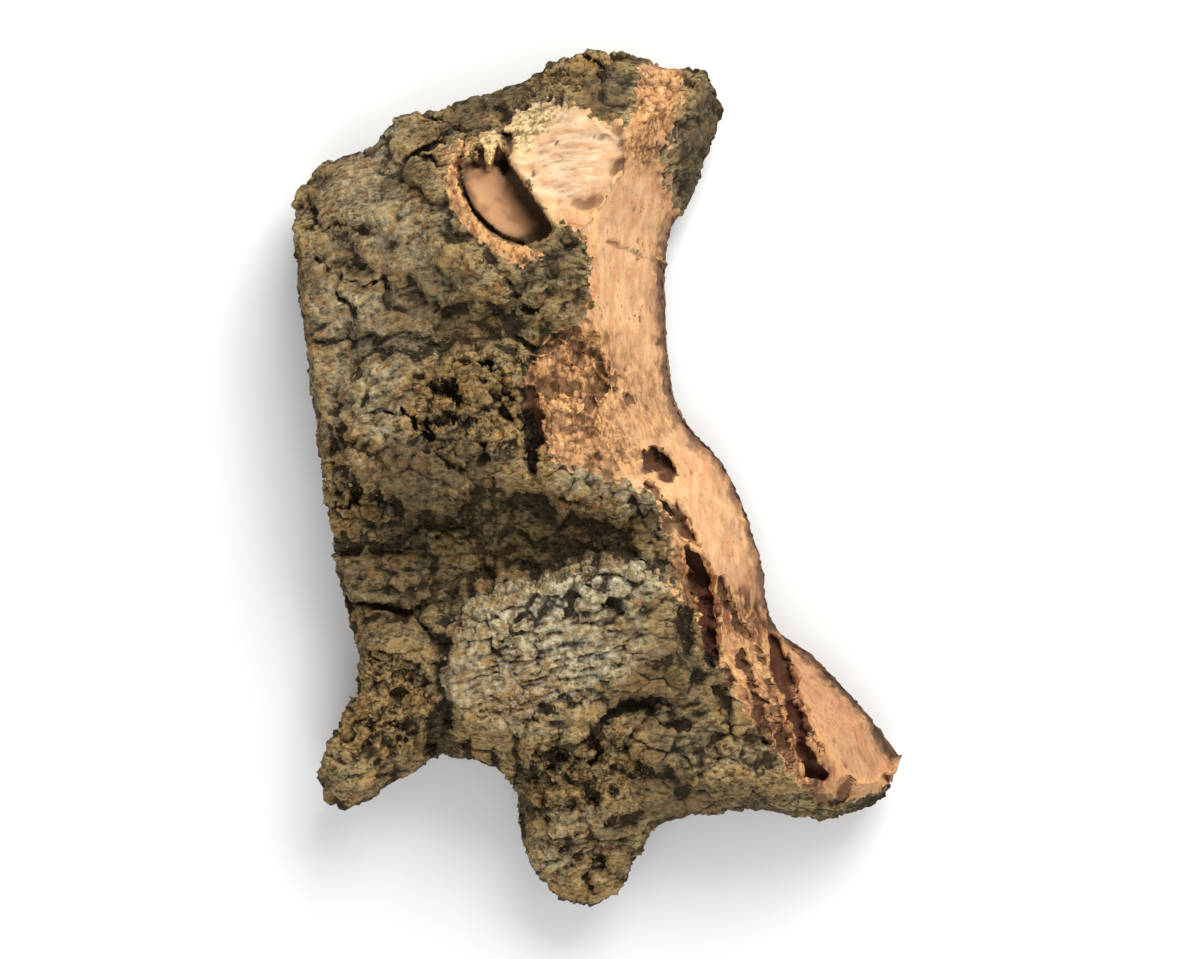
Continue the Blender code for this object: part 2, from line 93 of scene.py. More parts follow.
sky = bpy.data.worlds.new("sky")
bpy.context.scene.world = sky
sky.use_nodes = True
sky.node_tree.nodes["Background"].inputs["Color"].default_value = (0.93, 0.96, 1.0, 1.0)
sky.node_tree.nodes["Background"].inputs["Strength"].default_value = 0.50
bpy.context.scene.view_settings.view_transform = "Standard"
print("lamps:", [light.name for light in bpy.data.lights])

# %% [markdown]
# A long lens at a good distance keeps the view almost parallel, as it is in the photograph.
# How long it is follows from the share of the picture's height that the slab takes up.
# %% Camera
IMAGE_WIDTH, IMAGE_HEIGHT = 1200, 959
SLAB_SHARE = 0.91
CAMERA_HEIGHT = 1.2
SENSOR = 36.0
slab_length = cad_box[1][1] - cad_box[0][1]
view_width = slab_length / SLAB_SHARE * IMAGE_WIDTH / IMAGE_HEIGHT
lens = bpy.data.cameras.new("overhead")
lens.sensor_width = SENSOR
lens.lens = SENSOR * (CAMERA_HEIGHT - cad_box[1][2]) / view_width
camera = bpy.data.objects.new("overhead", lens)
aim(camera, (0, 0, CAMERA_HEIGHT), (0, 0, 0))
bpy.context.scene.camera = camera
print("view width, mm:", round(view_width / MM, 1), " lens, mm:", round(lens.lens, 1))

# %% [markdown]
# A table is only a sheet of four corners. Its paint is off-white and dull, so the slab's shadow reads
# softly on it.
# %% The table's sheet
TABLE_HALF = 1.5
table_corners = [(x * TABLE_HALF, y * TABLE_HALF, 0) for x, y in ((-1, -1), (1, -1), (1, 1), (-1, 1))]
table_mesh = bpy.data.meshes.new("table")
table_mesh.from_pydata(table_corners, [], [(0, 1, 2, 3)])
table = bpy.data.objects.new("table", table_mesh)
bpy.context.scene.collection.objects.link(table)
table_paint = bpy.data.materials.new("table_paint")
table_paint.use_nodes = True
table_shader = table_paint.node_tree.nodes["Principled BSDF"]
table_shader.inputs["Base Color"].default_value = (0.86, 0.86, 0.85, 1.0)
table_shader.inputs["Roughness"].default_value = 0.7
table_mesh.materials.append(table_paint)
print("table, m across:", 2 * TABLE_HALF)

# %% [markdown]
# ## The slab's plan
# Seen from above the slab is a ragged four-sided shape. Each side is one smooth curve through
# a few points, in millimetres from the middle, and the ground between the four curves is a
# Coons patch: two numbers from 0 to 1, across and along, give any place on the slab. The same
# curves carry how high the bark stands at its very rim and how steeply it climbs inwards.
# %% Edge curves
Edge = namedtuple("Edge", "points foot rise")
LEFT = Edge(
    ((-39.5, -41.5), (-36.8, -34.5), (-33.6, -29.5), (-33.4, -23.5), (-36.2, -13.5),
     (-38.7, 4.8), (-41.5, 25.9), (-42.4, 38.5)),
    14.5, 6.0,
)
TOP = Edge(
    ((-42.4, 38.5), (-40.2, 42.0), (-37.0, 44.2), (-31.8, 46.2), (-28.5, 49.6), (-18.1, 52.6),
     (-11.6, 55.0), (-6.0, 58.2), (1.0, 59.6), (9.7, 57.8), (14.8, 56.4), (17.3, 51.5)),
    9.0, 1.7,
)
RIGHT = Edge(
    ((42.4, -38.8), (37.5, -31.8), (30.1, -24.2), (24.6, -19.5), (22.8, -10.5), (18.2, 1.5),
     (12.0, 8.8), (10.0, 16.5), (9.7, 30.7), (12.3, 38.5), (15.2, 45.5), (17.3, 51.5)),
    5.0, 1.9,
)
BOTTOM = Edge(
    ((-39.5, -41.5), (-37.5, -44.8), (-33.6, -45.2), (-27.7, -41.6), (-22.5, -38.6),
     (-16.0, -39.6), (-11.6, -43.0), (-10.6, -51.5), (-6.6, -57.2), (-2.2, -59.6), (2.2, -57.0),
     (5.6, -51.0), (9.4, -47.6), (20.0, -46.2), (32.0, -46.8), (39.0, -44.4), (42.4, -38.8)),
    7.5, 3.0,
)
print("points on the edges:", [len(edge.points) for edge in (LEFT, TOP, RIGHT, BOTTOM)])

# %% [markdown]
# A chain of cubics goes through the points of an edge without a corner. The patch then blends
# the four edges into places inside them.
# %% Curves and the ground between them
CURVE_FINENESS = 16
EDGE_FINENESS = 400


def curve_through(points, count):
    """A Catmull-Rom curve: between two points it is the cubic whose slope at each is half the
    step between that point's neighbours. It is given at evenly spaced lengths."""
    knots = np.array(points)
    knots = np.vstack([2 * knots[0] - knots[1], knots, 2 * knots[-1] - knots[-2]])
    t = np.linspace(0, 1, CURVE_FINENESS, endpoint=False)[:, None]
    runs = []
    for before, start, end, after in zip(knots, knots[1:], knots[2:], knots[3:]):
        square = 2 * before - 5 * start + 4 * end - after
        cube = 3 * (start - end) + after - before
        runs.append(start + 0.5 * t * (end - before + t * (square + t * cube)))
    line = np.vstack(runs + [knots[-2:-1]])
    steps = np.linalg.norm(np.diff(line, axis=0), axis=1)
    length = np.concatenate([[0], np.cumsum(steps)])
    at = np.linspace(0, length[-1], count)
    return np.column_stack([np.interp(at, length, line[:, 0]), np.interp(at, length, line[:, 1])])


def along_edge(edge, share):
    """Places on an edge, at these shares of its length."""
    line = curve_through(edge.points, EDGE_FINENESS)
    at = np.linspace(0, 1, EDGE_FINENESS)
    return np.column_stack([np.interp(share, at, line[:, 0]), np.interp(share, at, line[:, 1])])


def plan_at(u, v):
    """Coons patch: the left and right edges blended across, plus the low and high ones blended
    along, less the blend of the four corners, which both of those hold."""
    left, right = along_edge(LEFT, v), along_edge(RIGHT, v)
    low, high = along_edge(BOTTOM, u), along_edge(TOP, u)
    u, v = u[:, None], v[:, None]
    corners = [np.array(edge.points[end]) for end in (0, -1) for edge in (LEFT, RIGHT)]
    near_end = (1 - u) * corners[0] + u * corners[1]
    far_end = (1 - u) * corners[2] + u * corners[3]
    plan = (1 - u) * left + u * right + (1 - v) * (low - near_end) + v * (high - far_end)
    return plan[:, 0], plan[:, 1]


print("rim, mm round:", round(sum(
    float(np.linalg.norm(np.diff(curve_through(edge.points, 200), axis=0), axis=1).sum())
    for edge in (LEFT, TOP, RIGHT, BOTTOM)), 1))

# %% [markdown]
# ## Nature's irregularity
# Bark has no straight line in it. Everything below wanders by gradient noise: each corner of
# a lattice gets a slope drawn from its own number, and the slopes are blended in between.
# Numbers are scrambled from the lattice, so the slab comes out the same each time.
# %% Flat noise
LATTICE = (73856093, 19349663, 83492791)


def scrambled(numbers):
    """Whole numbers turned into others that look random, the same each time."""
    mixed = numbers & 0xFFFFFFFF
    mixed = (mixed ^ (mixed >> 15)) * 2246822519 & 0xFFFFFFFF
    mixed = (mixed ^ (mixed >> 13)) * 3266489917 & 0xFFFFFFFF
    return mixed ^ (mixed >> 16)


def noise(x, y, size, seed):
    """Flat gradient noise, about -1 to 1, with bumps about as wide as size."""
    cell_x, cell_y = np.floor(x / size).astype(np.int64), np.floor(y / size).astype(np.int64)
    part_x, part_y = x / size - cell_x, y / size - cell_y
    fade_x = part_x ** 3 * (part_x * (part_x * 6 - 15) + 10)
    fade_y = part_y ** 3 * (part_y * (part_y * 6 - 15) + 10)
    total = 0
    for right in (0, 1):
        for up in (0, 1):
            key = (cell_x + right) * LATTICE[0] ^ (cell_y + up) * LATTICE[1] ^ seed * LATTICE[2]
            angle = scrambled(key) * (2 * math.pi / 2 ** 32)
            slope = np.cos(angle) * (part_x - right) + np.sin(angle) * (part_y - up)
            weight = (fade_x if right else 1 - fade_x) * (fade_y if up else 1 - fade_y)
            total = total + weight * slope
    return total * 1.5


def rough(x, y, size, seed):
    """Noise with a half-size layer on it at half strength."""
    return noise(x, y, size, seed) + 0.5 * noise(x, y, size / 2, seed + 1)


sample = np.linspace(0, 50, 500)
sampled = noise(sample, sample, 3.0, 1)
print("flat noise runs from", sampled.min().round(2), "to", sampled.max().round(2))

# %% [markdown]
# The same noise in space has no grain of its own, so relief made from it runs on over cliffs.
# A second tool scatters one point in each cube of a lattice and asks which is nearest, which
# parts the bark into crumbs.
# %% Noise and crumbs in space
def solid_noise(points, size, seed):
    """The same in space: the three slopes at each of a cube's eight corners, blended."""
    at = points / size
    cell = np.floor(at).astype(np.int64)
    part = at - cell
    fade = part ** 3 * (part * (part * 6 - 15) + 10)
    total = np.zeros(len(points))
    for corner in np.ndindex(2, 2, 2):
        key = (cell + corner) * LATTICE
        drawn = scrambled(key[:, 0] ^ key[:, 1] ^ key[:, 2] ^ seed * 2654435761)
        away = part - corner
        slope = sum((drawn >> 10 * axis & 1023) * away[:, axis] for axis in range(3))
        weight = np.prod(np.where(corner, fade, 1 - fade), axis=1)
        total += weight * (slope / 511.5 - away.sum(axis=1))
    return total * 1.2


def crumbs(points, size, seed, scatter=0.85):
    """For each place in space, how far it is inside its own crumb, 0 in the gap between two
    and about 1 at its heart, and that crumb's own number from 0 to 1."""
    at = points / size
    cell = np.floor(at).astype(np.int64)
    nearest = np.full(len(points), np.inf)
    second = np.full(len(points), np.inf)
    own = np.zeros(len(points))
    for step in np.ndindex(3, 3, 3):
        near = cell + step - 1
        key = near * LATTICE
        drawn = scrambled(key[:, 0] ^ key[:, 1] ^ key[:, 2] ^ seed * 2654435761)
        away = 0
        for axis in range(3):
            heart = near[:, axis] + 0.5 + scatter * ((drawn >> 10 * axis & 1023) / 1023 - 0.5)
            away = away + (at[:, axis] - heart) ** 2
        away = np.sqrt(away)
        second = np.minimum(second, np.maximum(nearest, away))
        own = np.where(away < nearest, (scrambled(drawn) & 4095) / 4095, own)
        nearest = np.minimum(nearest, away)
    return second - nearest, own


in_line = np.column_stack([sample] * 3)
print("crumbs met along a line:", len(np.unique(crumbs(in_line, 3.0, 1)[1])))

# %% [markdown]
# Heights are joined by the greater or the lesser of two, rounded where they cross, because a
# sharp join looks cut. The distance to a curve shapes the rims, the break and the cracks.
# %% Soft joins and distances
def smooth_max(a, b, soft):
    """The greater of two heights, rounded where they cross."""
    share = np.clip(0.5 + 0.5 * (a - b) / soft, 0, 1)
    return b + (a - b) * share + soft * share * (1 - share)


def smooth_min(a, b, soft):
    """The lesser of two heights, rounded where they cross."""
    return -smooth_max(-a, -b, soft)


def smooth_step(value, start, end):
    """0 before start, 1 after end, and an even S between them."""
    t = np.clip((value - start) / (end - start), 0, 1)
    return t * t * (3 - 2 * t)


def turned(x, y, middle, degrees):
    """Places measured along and across a thing that is turned about its middle."""
    c, s = math.cos(math.radians(degrees)), math.sin(math.radians(degrees))
    away_x, away_y = x - middle[0], y - middle[1]
    return away_x * c + away_y * s, away_y * c - away_x * s


FAR, REACH = 99.0, 16.0
DISTANCE_FINENESS = 90


def distance_to(x, y, points, reach=REACH):
    """How far each place is from the curve through the points, worked out run by run for the
    places within reach of it. All the others are simply far."""
    line = curve_through(points, DISTANCE_FINENESS)
    low, high = line.min(axis=0) - reach, line.max(axis=0) + reach
    close = (x > low[0]) & (x < high[0]) & (y > low[1]) & (y < high[1])
    px, py = x[close], y[close]
    nearest = np.full(len(px), FAR)
    for (start_x, start_y), (run_x, run_y) in zip(line, np.diff(line, axis=0)):
        share = ((px - start_x) * run_x + (py - start_y) * run_y) / (run_x ** 2 + run_y ** 2)
        share = np.clip(share, 0, 1)
        nearest = np.minimum(nearest, np.hypot(px - start_x - share * run_x, py - start_y - share * run_y))
    result = np.full(len(x), FAR)
    result[close] = nearest
    return result


middle = np.zeros(1)
print("from the middle to the break, mm:", distance_to(middle, middle, RIGHT.points, FAR).round(1)[0])

# %% [markdown]
# ## Plates, furrow and break
# The outer face is a height over the plan. A low bed is the floor of the furrow. The plates
# stand on it: squarish domes that lean and have steep flanks. Their outlines wander twice,
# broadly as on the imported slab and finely, so that the lower edges hang in finger-like lobes.
# The rims fall away, and the break is one long slope down to the right edge that cuts
# through whatever is higher.
# %% Plates
Plate = namedtuple("Plate", "middle half turn top climb flank")
PLATES = (
    Plate((-31.0, 26.0), (12.5, 19.5), 10, 20.5, (0.10, -0.02), 2.0),
    Plate((-17.5, 39.5), (16.5, 14.5), -28, 24.5, (0.03, -0.05), 2.2),
    Plate((0.5, 40.0), (9.0, 19.0), -10, 25.5, (-0.02, 0.0), 1.8),
    Plate((-7.5, 23.0), (13.5, 11.0), -12, 23.0, (0.05, 0.05), 2.0),
    Plate((-22.0, 7.5), (12.0, 9.0), 10, 27.0, (0.03, 0.02), 3.6),
    Plate((-1.0, 4.0), (11.5, 7.4), -10, 26.5, (-0.05, 0.03), 4.2),
    Plate((13.0, -6.0), (7.5, 9.5), 16, 20.5, (-0.10, 0.0), 3.2),
    Plate((-1.0, -6.4), (11.5, 4.4), -2, 16.5, (0.12, 0.0), 1.4),
    Plate((-34.0, 1.0), (6.0, 7.5), 0, 18.5, (0.05, 0.05), 2.2),
    Plate((-28.0, -14.0), (8.5, 6.0), 12, 13.0, (0.0, 0.0), 1.6),
    Plate((-4.2, -24.8), (15.8, 10.8), 16, 26.5, (0.02, 0.16), 4.5),
    Plate((-26.5, -26.5), (8.5, 5.5), 24, 20.5, (0.05, 0.12), 3.0),
    Plate((-33.0, -37.5), (5.6, 8.2), -22, 17.0, (0.0, 0.15), 2.4),
    Plate((18.5, -31.5), (14.0, 12.0), -38, 23.0, (-0.06, 0.08), 2.6),
    Plate((3.8, -39.5), (4.6, 6.0), 18, 20.0, (0.0, 0.1), 3.0),
    Plate((-3.2, -43.6), (3.6, 4.6), 5, 16.5, (0.0, 0.1), 3.0),
    Plate((-2.6, -51.5), (9.0, 8.0), 0, 11.5, (0.0, 0.12), 1.6),
    Plate((-9.0, -47.0), (2.6, 4.6), 10, 14.0, (0.0, 0.0), 2.4),
    Plate((30.0, -37.5), (12.0, 9.0), -40, 20.5, (-0.1, 0.05), 2.0),
)
PLATE_SQUARENESS = 3
PLATE_EDGE_FALL = 0.8
PLATE_JOIN = 0.9
PLATE_WANDER = 1.5
PLATE_WANDER_SIZE = 9.0
LOBE_WANDER = 0.9
LOBE_WIDTH = 2.3
LOBE_LENGTH = 7.0
HALF_WIDTH, HALF_LENGTH = 42.4, 59.6
BED_HEIGHT, BED_CROWN, BED_RELIEF, BED_BUMP = 9.5, 2.5, 1.0, 14.0


def plate_height(x, y, plate):
    """A plate's top: a level that leans, less a rounding that grows with the cube of the share
    of its half size, less its flank's slope for each millimetre beyond the edge."""
    along, across = turned(x, y, plate.middle, plate.turn)
    square = PLATE_SQUARENESS
    share = np.abs(along / plate.half[0]) ** square + np.abs(across / plate.half[1]) ** square
    share = share ** (1 / square)
    beyond = np.maximum(share - 1, 0) * min(plate.half)
    lean = plate.climb[0] * (x - plate.middle[0]) + plate.climb[1] * (y - plate.middle[1])
    return plate.top + lean - PLATE_EDGE_FALL * np.minimum(share, 1) ** square - plate.flank * beyond


def bed_and_plates(x, y):
    """The bed's crowned level with all the plates on it, where the wandering puts them."""
    crown = 1 - (x / HALF_WIDTH) ** 2 - (y / HALF_LENGTH) ** 2
    height = BED_HEIGHT + BED_CROWN * crown + BED_RELIEF * rough(x, y, BED_BUMP, 31)
    lobe = LOBE_WANDER * rough(x / LOBE_WIDTH, y / LOBE_LENGTH, 1.0, 141)
    moved_x = x + PLATE_WANDER * rough(x, y, PLATE_WANDER_SIZE, 11) + 0.4 * rough(x, y, 2.2, 151)
    moved_y = y + PLATE_WANDER * rough(x, y, PLATE_WANDER_SIZE, 21) + lobe
    for plate in PLATES:
        height = smooth_max(height, plate_height(moved_x, moved_y, plate), PLATE_JOIN)
    return height


tops = [plate.top for plate in PLATES]
print(len(PLATES), "plates, tops from", min(tops), "to", max(tops), "mm")

# %% [markdown]
# Between the plates' edges the crust is parted into blocks, each a little higher or lower
# than the next, with joints that come and go. That low relief is part of the solid too.
# %% Blocks
BLOCK_SIZE, BLOCK_STRETCH = 8.5, 0.72
BLOCK_WANDER, BLOCK_WANDER_SIZE = 2.6, 7.0
BLOCK_STEP, BLOCK_GROOVE, BLOCK_EDGE = 2.4, 1.8, 1.6
JOINT_PATCH = 13.0
FACE_RELIEF, FACE_BUMP = 0.9, 8.0
BLOCK_SCATTER = 0.9


def blocks(x, y, size, seed):
    """How far each place is inside its own block, and that block's number from 0 to 1. A block
    is the ground nearest to one of the points that are scattered one to a square."""
    square_x, square_y = np.floor(x / size).astype(np.int64), np.floor(y / size).astype(np.int64)
    nearest = np.full(len(x), np.inf)
    second = np.full(len(x), np.inf)
    own = np.zeros(len(x))
    for step_x in (-1, 0, 1):
        for step_y in (-1, 0, 1):
            near_x, near_y = square_x + step_x, square_y + step_y
            drawn = scrambled(near_x * LATTICE[0] ^ near_y * LATTICE[1] ^ seed * LATTICE[2])
            point_x = near_x + 0.5 + BLOCK_SCATTER * ((drawn & 1023) / 1023 - 0.5)
            point_y = near_y + 0.5 + BLOCK_SCATTER * ((drawn >> 10 & 1023) / 1023 - 0.5)
            away = np.hypot(x / size - point_x, y / size - point_y)
            second = np.minimum(second, np.maximum(nearest, away))
            own = np.where(away < nearest, (drawn >> 20 & 1023) / 1023, own)
            nearest = np.minimum(nearest, away)
    return (second - nearest) * size, own


def block_relief(x, y):
    """Steps between blocks, grooves on the joints that are open, and soft bumps."""
    moved_x = x * BLOCK_STRETCH + BLOCK_WANDER * rough(x, y, BLOCK_WANDER_SIZE, 101)
    moved_y = y + BLOCK_WANDER * rough(x, y, BLOCK_WANDER_SIZE, 111)
    inside, own = blocks(moved_x, moved_y, BLOCK_SIZE, 91)
    clear = smooth_step(inside, 0, BLOCK_EDGE)
    open_share = np.clip(0.5 + rough(x, y, JOINT_PATCH, 121), 0, 1)
    step = BLOCK_STEP * (own - 0.5) * clear
    groove = BLOCK_GROOVE * open_share * (1 - clear)
    return step - groove + FACE_RELIEF * rough(x, y, FACE_BUMP, 41)


sampled = block_relief(sample, sample)
print("block relief, mm:", sampled.min().round(1), "to", sampled.max().round(1))

# %% [markdown]
# ## The pocket and its teeth
# An oval knot hole was torn open near the top. Its bowl is smooth, a thin black crack runs
# along its lower left rim with a crumbly lip outside it, two pale teeth hang into it from
# above, and the fresh scar beside it ends in a straight cut edge.
# %% Pocket
POCKET_MIDDLE, POCKET_HALF, POCKET_TURN = (-12.4, 39.3), (7.8, 5.7), -55
POCKET_STEP, POCKET_DEPTH, POCKET_RIM, TOOTH_FILL = 1.5, 5.4, 0.05, 0.85
CUT_EDGE = ((-12.6, 44.4), (-6.8, 35.6))
Tooth = namedtuple("Tooth", "root tip half end")
TEETH = (
    Tooth((-15.0, 48.4), (-15.3, 42.6), 1.7, 0.2),
    Tooth((-19.6, 47.6), (-18.3, 43.4), 2.6, 1.6),
)


def tooth_share(x, y, tooth):
    """1 on a tooth and 0 off it: it narrows evenly from its root to its blunt tip."""
    way = np.subtract(tooth.tip, tooth.root)
    length = float(np.hypot(*way))
    along = ((x - tooth.root[0]) * way[0] + (y - tooth.root[1]) * way[1]) / length
    across = np.abs((x - tooth.root[0]) * way[1] - (y - tooth.root[1]) * way[0]) / length
    room = tooth.half - (tooth.half - tooth.end) * along / length - across
    room = np.minimum(room, length - along)
    return smooth_step(room, -0.15, 0.35) * (along > -2)


def left_of(x, y, line):
    """How far each place is to the left of a line that is walked from its first point."""
    way = np.subtract(line[1], line[0])
    return ((y - line[0][1]) * way[0] - (x - line[0][0]) * way[1]) / float(np.hypot(*way))


def pocket_depth(x, y):
    """A step down at the oval's rim and then an even S-shaped slope to the straight cut edge,
    where the bowl is deepest and ends in a cliff. The teeth fill it from above."""
    along, across = turned(x, y, POCKET_MIDDLE, POCKET_TURN)
    share = np.hypot(along / POCKET_HALF[0], across / POCKET_HALF[1])
    slope = smooth_step(across, -POCKET_HALF[1], 0.5 * POCKET_HALF[1])
    bowl = POCKET_STEP + (POCKET_DEPTH - POCKET_STEP) * slope
    bowl = bowl * (1 - smooth_step(share, 1 - POCKET_RIM, 1 + POCKET_RIM))
    bowl = bowl * smooth_step(-left_of(x, y, CUT_EDGE), 0, 0.5)
    for tooth in TEETH:
        bowl = bowl * (1 - TOOTH_FILL * tooth_share(x, y, tooth))
    return bowl, share, across


bowl_middle = pocket_depth(middle + POCKET_MIDDLE[0], middle + POCKET_MIDDLE[1])[0]
print("pocket's depth at its middle, mm:", bowl_middle.round(1)[0])

# %% [markdown]
# The scar beside the pocket is calm ground too. Places like it are soft ovals with borders
# broken up by noise, which also serve for the finishes further on.
# %% Scar
Patch = namedtuple("Patch", "middle half turn strength")
SCAR = (
    Patch((-6.4, 45.2), (7.6, 8.6), 35, 1.0),
    Patch((0.4, 46.4), (4.0, 2.6), -20, 0.8),
)
SCAR_CALM, LIP_CALM = 0.75, 0.7
POCKET_LEVEL = 24.2


def patch_share(x, y, patches, ragged, seed):
    """The strongest of some soft ovals, with borders that wander by ragged millimetres."""
    x, y = x + ragged * rough(x, y, 3.6, seed), y + ragged * rough(x, y, 3.6, seed + 5)
    total = np.zeros(len(x))
    for patch in patches:
        along, across = turned(x, y, patch.middle, patch.turn)
        share = np.hypot(along / patch.half[0], across / patch.half[1])
        total = np.maximum(total, patch.strength * (1 - smooth_step(share, 0.7, 1.25)))
    return total


scar_heart = patch_share(middle + SCAR[0].middle[0], middle + SCAR[0].middle[1], SCAR, 0.8, 211)
print("the scar's share at its middle:", scar_heart.round(2)[0])

# %% [markdown]
# ## Cracks
# Each crack is a curve with a width and a depth. The wide ones are part of the solid. The
# hairlines are finer than its faces, so they are only here.
# %% Crack routes
Crack = namedtuple("Crack", "route width depth")
CRACK_FLOOR, CRACK_LIP = 0.2, 1.2
CRACKS = (
    Crack(((24.4, -22.5), (26.6, -31.0), (29.4, -40.5)), 2.0, 3.0),
    Crack(((13.0, -10.5), (14.6, -17.0), (15.6, -25.0)), 2.4, 3.5),
    Crack(((-8.5, -37.8), (-2.0, -35.4), (3.0, -31.4), (8.6, -30.4)), 2.6, 3.0),
    Crack(((7.0, 3.6), (7.8, 2.4), (9.6, 1.4)), 3.2, 4.0),
    Crack(((-22.8, 12.4), (-20.6, 12.2), (-19.0, 11.0)), 3.0, 3.5),
    Crack(((-21.4, -31.5), (-22.6, -35.0), (-21.2, -40.0)), 4.6, 7.0),
    Crack(((-10.2, 11.0), (-9.4, 6.4), (-9.2, 1.6)), 3.0, 3.8),
)
HAIRLINES = (
    Crack(((-13.5, 43.4), (-13.0, 45.4), (-12.9, 47.4)), 2.4, 3.4),
    Crack(((-17.1, 42.6), (-17.4, 45.6)), 0.9, 2.0),
    Crack(((7.0, -1.0), (10.0, -4.6), (13.6, -9.0)), 0.9, 1.6),
    Crack(((-6.6, 19.8), (-1.0, 17.0), (4.4, 10.6)), 0.9, 0.9),
    Crack(((19.6, -24.0), (21.6, -29.6), (22.6, -36.4)), 1.1, 1.5),
    Crack(((22.2, -23.6), (24.0, -30.0), (26.0, -38.6)), 0.9, 1.3),
    Crack(((26.0, -25.0), (27.6, -31.0), (30.2, -37.6)), 0.8, 1.2),
    Crack(((16.8, -14.0), (18.4, -18.0), (20.6, -21.4)), 0.9, 1.4),
    Crack(((-16.4, 16.2), (-13.2, 14.0), (-12.4, 10.6)), 1.4, 2.0),
    Crack(((-26.6, 9.0), (-24.0, 7.6), (-20.4, 8.2)), 1.3, 2.0),
    Crack(((-39.0, 30.0), (-33.0, 27.0), (-27.6, 28.4)), 0.9, 1.2),
    Crack(((-26.0, 45.0), (-20.0, 43.0), (-18.4, 47.4)), 1.0, 1.6),
    Crack(((-18.6, -41.0), (-18.0, -35.6)), 1.5, 2.4),
    Crack(((-15.2, -42.0), (-14.8, -36.4)), 1.3, 2.0),
    Crack(((-11.6, -43.0), (-11.4, -35.8)), 1.7, 2.8),
    Crack(((-6.6, -40.0), (-5.6, -34.6)), 1.4, 2.2),
    Crack(((-0.6, -38.6), (0.6, -34.0)), 1.3, 2.2),
)
STRAIGHT = (
    Crack(((-19.4, 43.0), (-19.0, 40.4), (-17.9, 37.7), (-15.9, 35.2), (-13.4, 33.4), (-10.6, 32.3)),
          0.85, 2.2),
    Crack(((1.6, 32.7), (6.4, 31.0), (8.8, 29.8)), 0.5, 0.7),
)
HAIR_WANDER, STRAIGHT_WANDER = 0.7, 0.15
OPENING_PATCH, OPENING_LEAST = 3.6, 0.55


def crack_depth(x, y, crack):
    """Full depth over the crack's floor, and none past its lip. It opens and closes along
    its length, which makes it narrower too."""
    opening = np.clip(0.75 + 0.8 * noise(x, y, OPENING_PATCH, 191), OPENING_LEAST, 1)
    near = distance_to(x, y, crack.route, crack.width) / (crack.width / 2 * (0.5 + 0.5 * opening))
    return crack.depth * opening * (1 - smooth_step(near, CRACK_FLOOR, CRACK_LIP))


print(len(CRACKS), "cracks and", len(HAIRLINES) + len(STRAIGHT), "hairlines")

# %% [markdown]
# ## The outer face as one height
# The order matters. Plates come first, then the rims, then the low relief so that it reaches
# the outline, then the break, which cuts all of that, and last the cracks.
# %% Outer height
EDGE_SOFT, BREAK_SOFT, BREAK_RELIEF, BREAK_BUMP = 2.0, 0.7, 0.8, 11.0
WEDGE_MIDDLE, WEDGE_HALF, WEDGE_TURN, WEDGE_BULGE = (33.5, -35.0), (10.0, 6.0), -45, 1.8


def outer_height(x, y):
    """Height of the outer face, how far each place is from the broken edge, and how deep in a
    crack it is."""
    height = bed_and_plates(x, y)
    for edge in (LEFT, TOP, BOTTOM):
        climb = edge.foot + edge.rise * distance_to(x, y, edge.points)
        height = smooth_min(height, climb, EDGE_SOFT)
    bowl, share, _ = pocket_depth(x, y)
    calm_scar = SCAR_CALM * patch_share(x, y, SCAR, 0.8, 211)
    calm_lip = LIP_CALM * (1 - smooth_step(share, 1.2, 1.7))
    height = height + (1 - np.maximum(calm_scar, calm_lip)) * block_relief(x, y)
    level = smooth_step(bowl, 0.5 * POCKET_STEP, POCKET_STEP)
    height = height * (1 - level) + POCKET_LEVEL * level - bowl
    inwards = distance_to(x, y, RIGHT.points)
    fresh = RIGHT.foot + RIGHT.rise * inwards + BREAK_RELIEF * rough(x, y, BREAK_BUMP, 51)
    along, across = turned(x, y, WEDGE_MIDDLE, WEDGE_TURN)
    wedge_share = np.hypot(along / WEDGE_HALF[0], across / WEDGE_HALF[1])
    fresh = fresh + WEDGE_BULGE * (1 - smooth_step(wedge_share, 0, 1))
    height = smooth_min(height, fresh, BREAK_SOFT)
    wander_x, wander_y = HAIR_WANDER * rough(x, y, 2.0, 171), HAIR_WANDER * rough(x, y, 2.0, 181)
    depth = sum(crack_depth(x + wander_x, y + wander_y, crack) for crack in CRACKS + HAIRLINES)
    wander_x, wander_y = STRAIGHT_WANDER * wander_x, STRAIGHT_WANDER * wander_y
    depth = depth + sum(crack_depth(x + wander_x, y + wander_y, crack) for crack in STRAIGHT)
    return height - depth, inwards, depth


print("outer face at the middle, mm:", outer_height(middle, middle)[0].round(1)[0])

# %% [markdown]
# ## The underside
# Nobody sees it in the photograph. On real virgin cork the inner face is a brown belly with
# long shallow ridges, and this one rests on three flat places round its weight.
# %% Under height
BELLY_RISE, BELLY_RIDGE, BELLY_LEAST, BELLY_RELIEF, BELLY_BUMP = 1.3, 0.8, 0.4, 0.3, 7.0
RIDGE_SPACING, RIDGE_WANDER, RIDGE_WANDER_SIZE = 12.5, 0.35, 30.0
RIM_LIFT, RIM_LIFT_START, RIM_LIFT_END = 1.6, 2.0, 12.0
RESTS = ((-17.0, 40.0), (-27.0, -29.0), (26.0, -36.0))
REST_RADIUS, REST_FADE, REST_WANDER, REST_WANDER_SIZE = 6.0, 9.0, 1.2, 9.0


